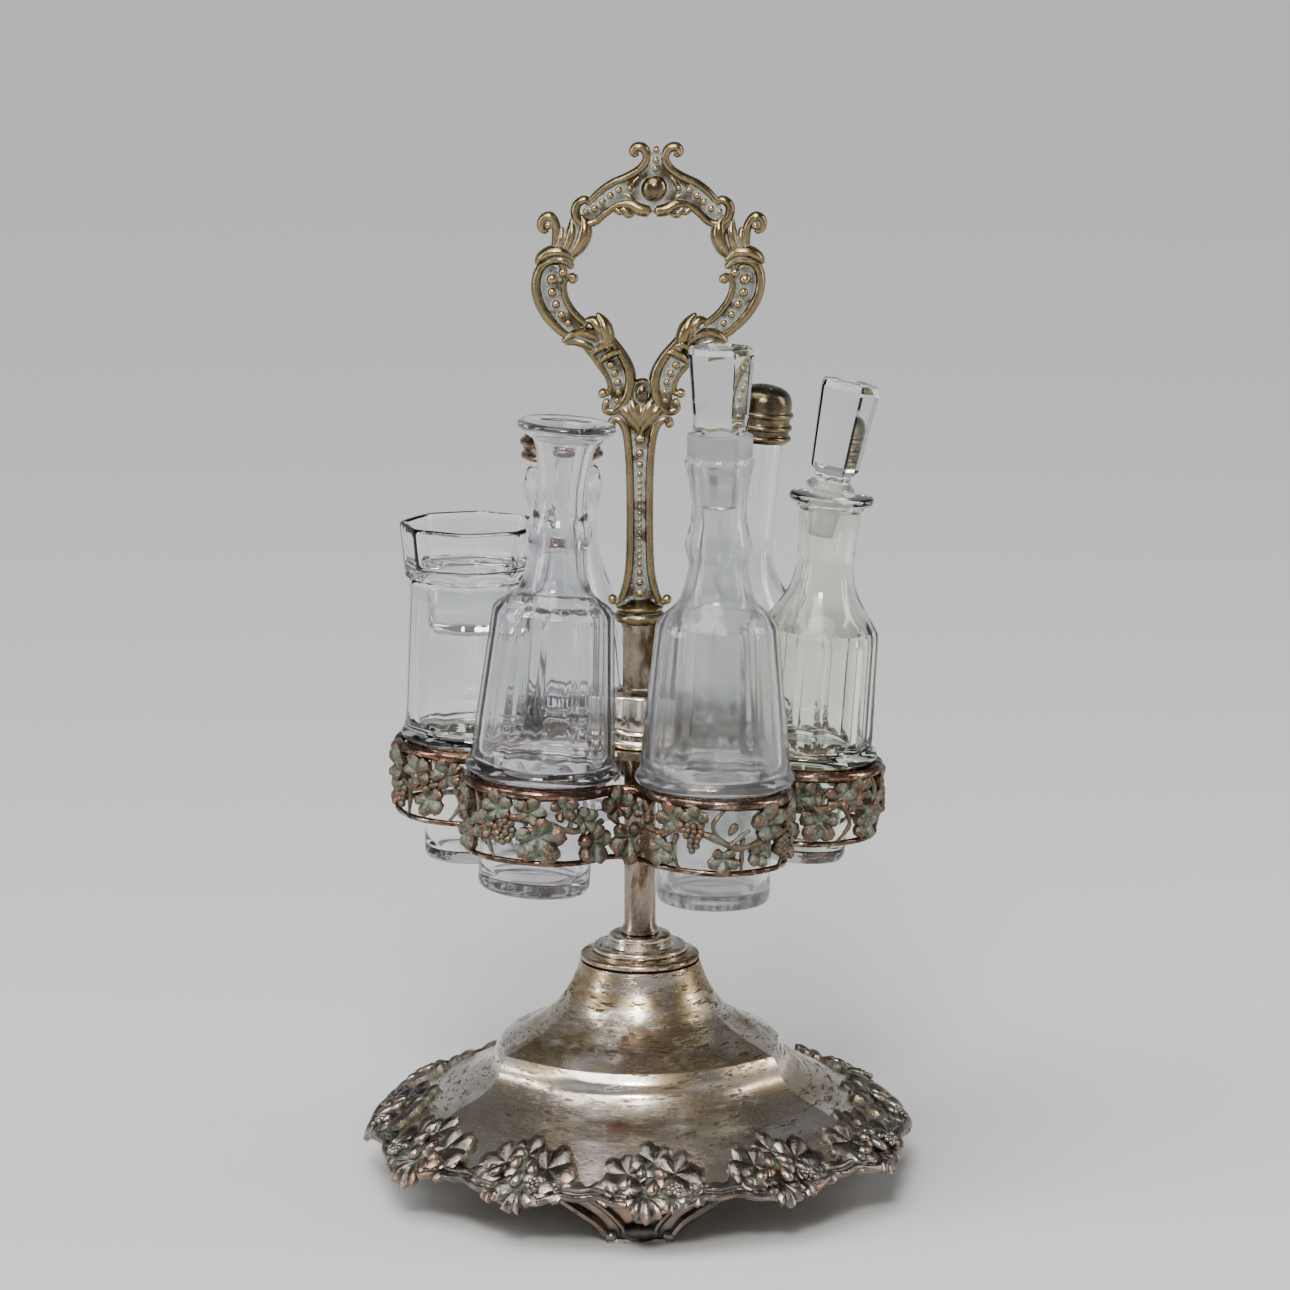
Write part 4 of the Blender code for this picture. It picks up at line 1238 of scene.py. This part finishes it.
def soy_bottle(mat, ground):
    outer = outline(
        [(0, -39.8), (12, -40)], [(15, -41), (17.6, -40.4), (18.5, -38.2)],
        [(18.5, -36), (18.5, -1)], [(19.2, 0), (26.4, 0.1), (27.4, 1.8), (26.6, 3.6), (25.2, 4.8)],
        [(25, 6), (23.7, 46)],
        [(23.3, 49), (20.6, 53.6), (16.6, 59.4), (13, 66), (11.4, 72.6), (11.1, 79), (11.5, 88),
         (12.5, 96.8)],
        [(14.2, 99.2), (16, 100), (16.4, 101.4), (15.8, 102.8), (13, 103.1), (9.4, 103),
         (9, 102), (8.8, 92), (8.3, 82), (8, 76), (9.6, 66.5), (14.6, 56.4), (19.4, 49.6)],
        [(20.2, 46), (21.2, 8)], [(20.6, 4), (17.6, -0.5), (15.8, -5)], [(15.6, -8), (15.6, -33)],
        [(14.8, -36), (10, -37.4), (0, -37.8)])

    def panels(r, z, turn):
        weight = ramp(z, 4, 7) * ramp(z, 58, 48)
        return faceted(r, turn, weight, 8, 0) if r > 21.9 - 0.9 * max(0, z - 49) else r
    place = vessel_place("soy")
    new_piece("panelled_sauce_bottle", spin(densify(outer), 96, panels), mat, "soy_bottle",
              ["soy_bottle"], place, sharp_deg=22)
    lean = math.radians(SOY_STOPPER_LEAN)
    lifted = 103.2 + 0.3 + 10.2 * math.sin(lean)
    place = place @ Matrix.Translation((-1.0 * MM, 0, lifted * MM))
    place = place @ rotation(0, SOY_STOPPER_LEAN, 0)
    body = [(0, -18), (4.4, -18), (4.9, -17.4), (6.1, 0), (9, 0), (9.6, 0.6), (9.6, 1.4),
            (9, 2), (7.4, 3.6), (7.3, 6.4), (10, 9), (12.2, 40.2), (11.1, 42.4), (0, 42.4)]
    prism_stopper("soy", body, ground, place, 3.6, 4.8, 0)


def mustard_jar(mat):
    outer = outline(
        [(0, -47.2), (12, -47.4)], [(15, -48.4), (17.4, -47.8), (18.3, -45.6)],
        [(18.3, -43), (18.3, -1)], [(19, 0), (26.4, 0.1), (27.5, 1.6), (27, 3.2), (26.3, 4.2)],
        [(26.2, 5), (24.5, 60.6)], [(24.3, 62.2), (23.4, 63), (20.4, 63), (19.7, 62.2)],
        [(20.2, 58), (22.6, 8)], [(22, 4), (18, -0.5), (15.6, -5)], [(15.5, -8), (15.5, -41)],
        [(14.6, -43.6), (10, -44.8), (0, -45)])
    place = vessel_place("mustard")

    def panels(r, z, turn):
        weight = 0.55 * ramp(z, 5, 8) * ramp(z, 60, 57)
        return faceted(r, turn, weight, 10, 0.2) if r > 23.5 else r
    new_piece("straight_jar", spin(densify(outer, 3), 120, panels), mat, "mustard_jar",
              ["mustard_jar"], place)
    lid = outline(
        [(0, 42.4), (14, 42.4)], [(15.4, 42.6), (17, 44), (17.4, 46)],
        [(17.7, 62.6), (18, 63.5)], [(19, 63.6), (25, 63.6)], [(26, 64.2), (26.4, 65.6)],
        [(28.4, 83), (28.2, 84.2)], [(27.6, 84.7), (26.6, 84.6), (26.1, 84)],
        [(24.4, 71), (23.8, 69)], [(22.6, 67.8), (12, 67.4), (0, 67.3)])

    def octagon(r, z, turn):
        weight = ramp(z, 64, 66.5) if r > 22 else 0.8 * ramp(z, 62, 58)
        return faceted(r, turn, 0.85 * weight, 8, 0.1)
    new_piece("dish_lid", spin(densify(lid, 2), 96, octagon), mat, "mustard_lid",
              ["mustard_lid"], place, sharp_deg=50)


HOLE_R = 0.75                  # in the shakers' caps
SHAKER_FOOT = outline(
    [(0, -43.4), (13, -43.6)], [(17.4, -44.8), (20, -44.2), (21, -42)], [(21, -40), (21, -1)])
SHAKER_WELL = outline([(18, -8), (18, -36)], [(17.2, -39), (12, -40.6), (0, -41)])


def shaker(vessel, glass_line, cap_line, cap_mat, mat, holes, liner, cork_mat):
    """Bottle, hollow cap with drilled holes (ring radius, count, low, high) and cork ring."""
    place = vessel_place(vessel)
    line = SHAKER_FOOT + glass_line + SHAKER_WELL
    new_piece(vessel + "_shaker_glass", spin(densify(line), 96, fluted(12, 8, 40, 0.6)), mat,
              vessel + "_bottle", [vessel + "_bottle"], place)
    cap = new_piece(vessel + "_pierced_cap", spin(cap_line, 96), cap_mat, vessel + "_cap",
                    [vessel + "_cap"], place)
    cutter = bmesh.new()
    for radius, count, low, high in holes:
        for i in range(count):
            a = 2 * math.pi * i / count
            line = [(0, low), (HOLE_R, low), (HOLE_R, high), (0, high)]
            before = set(cutter.verts)
            spin(line, 10, bm=cutter)
            for v in set(cutter.verts) - before:
                v.co += Vector((radius * math.cos(a), radius * math.sin(a), 0))
    drill = add_object(vessel + "_holes", new_mesh(vessel + "_holes", cutter, place))
    cut = cap.modifiers.new("holes", "BOOLEAN")
    cut.operation = "DIFFERENCE"
    cut.solver = "EXACT"
    cut.object = drill
    bpy.context.view_layer.update()
    holed = cap.evaluated_get(bpy.context.evaluated_depsgraph_get())
    cap.data = bpy.data.meshes.new_from_object(holed)
    cap.modifiers.clear()
    bpy.data.objects.remove(drill)
    inner, outer, low = liner
    ring = [(inner, low), (outer, low), (outer, low + 0.5), (outer, low + 1.5), (inner, low + 1.5)]
    new_piece(vessel + "_cork_ring", spin(ring, 48), cork_mat, vessel + "_gasket",
              [vessel + "_gasket"], place)


def pepper_shaker(mat, brass, cork_mat):
    line = outline(
        [(21.8, 0), (28, 0.1), (29, 1.8), (28.4, 3.6), (27.3, 4.8)], [(27.1, 6), (24, 41)],
        [(23.4, 44), (20, 50), (15, 56.6), (11.2, 63.4), (9.4, 71), (9.2, 78)],
        [(9.2, 80), (9.2, 112)], [(8.9, 113), (8.9, 120.6), (8.6, 121), (6.9, 121), (6.6, 120)],
        [(6.5, 118), (6.5, 74)], [(7.2, 68), (9.6, 61.6), (14, 54.6), (19.6, 45.6)],
        [(20.4, 42), (23.6, 8)], [(23, 4), (19.6, -0.5), (18.2, -5)])
    cap = ([(9.9, 113.4), (11.0, 113.4)] + arc_corner(11.3, 115.3, 1.2, -80, 80)
           + [(11.3, 117.4)] + arc_corner(11.3, 119.6, 1.2, -80, 80)
           + [(11.2, 121.6)] + arc_corner(11.3, 124.6, 1.25, -80, 80)
           + [(11.4, 126.4)]
           + outline([(11.5, 127.4), (11.2, 130.4), (9.9, 133.1), (7, 135), (3, 136)])
           + [(0, 136.3)])
    inside = [(0, 134.8), (5.4, 133.8), (8.6, 131), (9.2, 128), (9, 123.4), (9.9, 123.1)]
    holes = ((0, 1, 130, 140), (3.2, 6, 130, 140), (6.2, 10, 129, 140))
    shaker("pepper", line, inside + cap, brass, mat, holes, (6.6, 8.9, 121.3),
           cork_mat)


def spice_shaker(mat, copper, cork_mat):
    line = outline(
        [(21.8, 0), (28, 0.1), (29, 1.8), (28.2, 3.6), (26.8, 4.8)],
        [(26.6, 6), (24, 30), (21, 42), (18.7, 49.4), (15.6, 58), (13.6, 68), (13.3, 76),
         (14.2, 83.5), (15.7, 90), (15.6, 93), (14.2, 98.4)],
        [(13.1, 99.4), (13.1, 106.6)], [(12.8, 107), (10.8, 107), (10.4, 106)],
        [(10.4, 99), (11.8, 93), (11.4, 86), (10.5, 77), (11, 68), (13, 58), (16.2, 48),
         (18.6, 41), (21.2, 30), (23, 8)],
        [(22.6, 4), (19.6, -0.5), (18.2, -5)])
    cap = ([(13.8, 102.4), (14.9, 102.4)] + arc_corner(15.3, 104.0, 1.3, -80, 80)
           + [(15.4, 106.4)] + arc_corner(15.5, 109.4, 1.4, -80, 80)
           + outline([(15.2, 111.4), (13.6, 114), (10.4, 116.8), (5.6, 118.8), (2.5, 119.3)])
           + [(0, 119.4)])
    inside = [(0, 117.6), (7, 116.6), (11, 113.4), (12.4, 110.4), (12.8, 109.4), (13.8, 109.1)]
    holes = ((0, 1, 112, 124), (3.6, 6, 112, 124), (7.2, 10, 112, 124))
    shaker("spice", line, inside + cap, copper, mat, holes,
           (10, 12.8, 107.3), cork_mat)


# ---------------------------------------------------------------- stage

CAMERA_LENS = 127.8            # millimetres, on a 36 mm sensor
CAMERA_PLACE = (0.002, -1.75, 0.58)
CAMERA_DIP = 11.777            # degrees below level
FLOOR_HALF = 25                # metres
PAPER = (0.72, 0.72, 0.71)
SKY = (0.93, 0.96, 1.0)
SKY_FADE = {"From Min": 0, "From Max": 0.6, "To Min": 0.52, "To Max": 0.18}


def stage():
    """Camera, soft studio lights, a sky that darkens upwards and a pale floor."""
    scene = bpy.context.scene
    camera = add_object("camera", bpy.data.cameras.new("camera"))
    camera.data.lens = CAMERA_LENS
    camera.data.sensor_width = 36.0
    camera.data.clip_end = 20
    camera.location = CAMERA_PLACE
    camera.rotation_euler = (math.radians(90 - CAMERA_DIP), 0, 0)
    scene.camera = camera

    def area(name, place, aim, size, power, tint=(1, 1, 1)):
        light = add_object(name, bpy.data.lights.new(name, "AREA"))
        light.data.shape = "RECTANGLE"
        light.data.size, light.data.size_y = size
        light.data.energy = power
        light.data.color = tint
        light.location = place
        light.rotation_euler = (Vector(aim) - Vector(place)).to_track_quat("-Z", "Y").to_euler()

    area("front_window", (-0.12, -1.9, 1.75), (0, 0, 0.15), (0.55, 0.42), 24)
    area("left_softbox", (-1.25, -0.35, 0.75), (0, 0, 0.2), (0.25, 1.1), 5)
    area("right_strip", (1.25, 0, 0.7), (0, 0, 0.2), (0.2, 1.1), 4, (1, 0.97, 0.93))
    ceiling = add_object("soft_ceiling", bpy.data.lights.new("soft_ceiling", "SUN"))
    ceiling.data.energy = 1.7
    ceiling.data.angle = math.radians(50)
    ceiling.rotation_euler = (math.radians(22), math.radians(-14), 0)
    world = bpy.data.worlds.new("studio")
    world.use_nodes = True
    tree = world.node_tree
    way = add_node(tree, "ShaderNodeTexCoord").outputs["Generated"]
    up = add_node(tree, "ShaderNodeSeparateXYZ", {0: way}).outputs[2]
    fade = add_node(tree, "ShaderNodeMapRange", {"Value": up, **SKY_FADE})
    feed(tree.nodes["Background"], {"Strength": fade.outputs[0], "Color": SKY})
    scene.world = world
    scene.view_settings.look = "AgX - Medium High Contrast"

    mesh = bpy.data.meshes.new("floor")
    corners = [(x * FLOOR_HALF, y * FLOOR_HALF, 0) for x, y in ((-1, -1), (1, -1), (1, 1), (-1, 1))]
    mesh.from_pydata(corners, [], [(0, 1, 2, 3)])
    paper = bpy.data.materials.new("pale_paper")
    paper.use_nodes = True
    feed(paper.node_tree.nodes["Principled BSDF"], {"Base Color": PAPER, "Roughness": 0.9})
    mesh.materials.append(paper)
    floor = add_object("floor", mesh)


def repaint(node, mat):
    """Gives a CAD node that is shown as it is a better material."""
    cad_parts[node].data.materials.clear()
    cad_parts[node].data.materials.append(mat)


def main():
    stage()
    plate = worn_plate()
    dark = cast_border()
    copper = worn_copper()
    brass = aged_brass()
    bright = dull_metal("hub_silver", (0.78, 0.73, 0.66), (0.42, 0.34, 0.25), 0.1, 0.22, 60)
    stem_metal = dull_metal("dull_stem_silver", (0.36, 0.3, 0.25), (0.12, 0.08, 0.052),
                            0.2, 0.36)
    steel = dull_metal("rod_steel", (0.5, 0.49, 0.47), (0.3, 0.28, 0.26), 0.35, 0.5)
    ground = glass("ground_glass", (0.95, 0.95, 0.93), 0.12, 0.35, 0.1)
    cork_mat = cork()
    base_shell(plate)
    leaf_border(dark)
    for name, azimuth in (("foot_front", 0), ("foot_right", 120), ("foot_left", -120)):
        scroll_foot(name, azimuth, dark)
    stem(plate, stem_metal, brass)
    handle(brass, aged_brass("brass_channel_floor", True))
    holder_rail("top_rail", RAIL_HEIGHT - 0.35, 2.05, copper, 0.35)
    holder_rail("bottom_rail", BOTTOM_RAIL_HEIGHT, 1.1, copper)
    frieze(frieze_patina())
    hub(bright)
    for node in ("tie_rod", "rod_washer", "rod_nut", "thrust_collar"):
        repaint(node, steel)
    repaint("hub_bush", brass)
    repaint("seat_spider", plate)
    oil_bottle(glass("lavender_glass", (0.955, 0.95, 0.98), 0.05, 0.02))
    vinegar_bottle(glass("hazy_glass", (0.955, 0.96, 0.97), 0.13, 0.06), ground)
    soy_bottle(glass("green_tinted_glass", (0.95, 0.975, 0.9)), ground)
    mustard_jar(CLEAR)
    pepper_shaker(CLEAR, brass, cork_mat)
    spice_shaker(CLEAR, copper, cork_mat)


main()
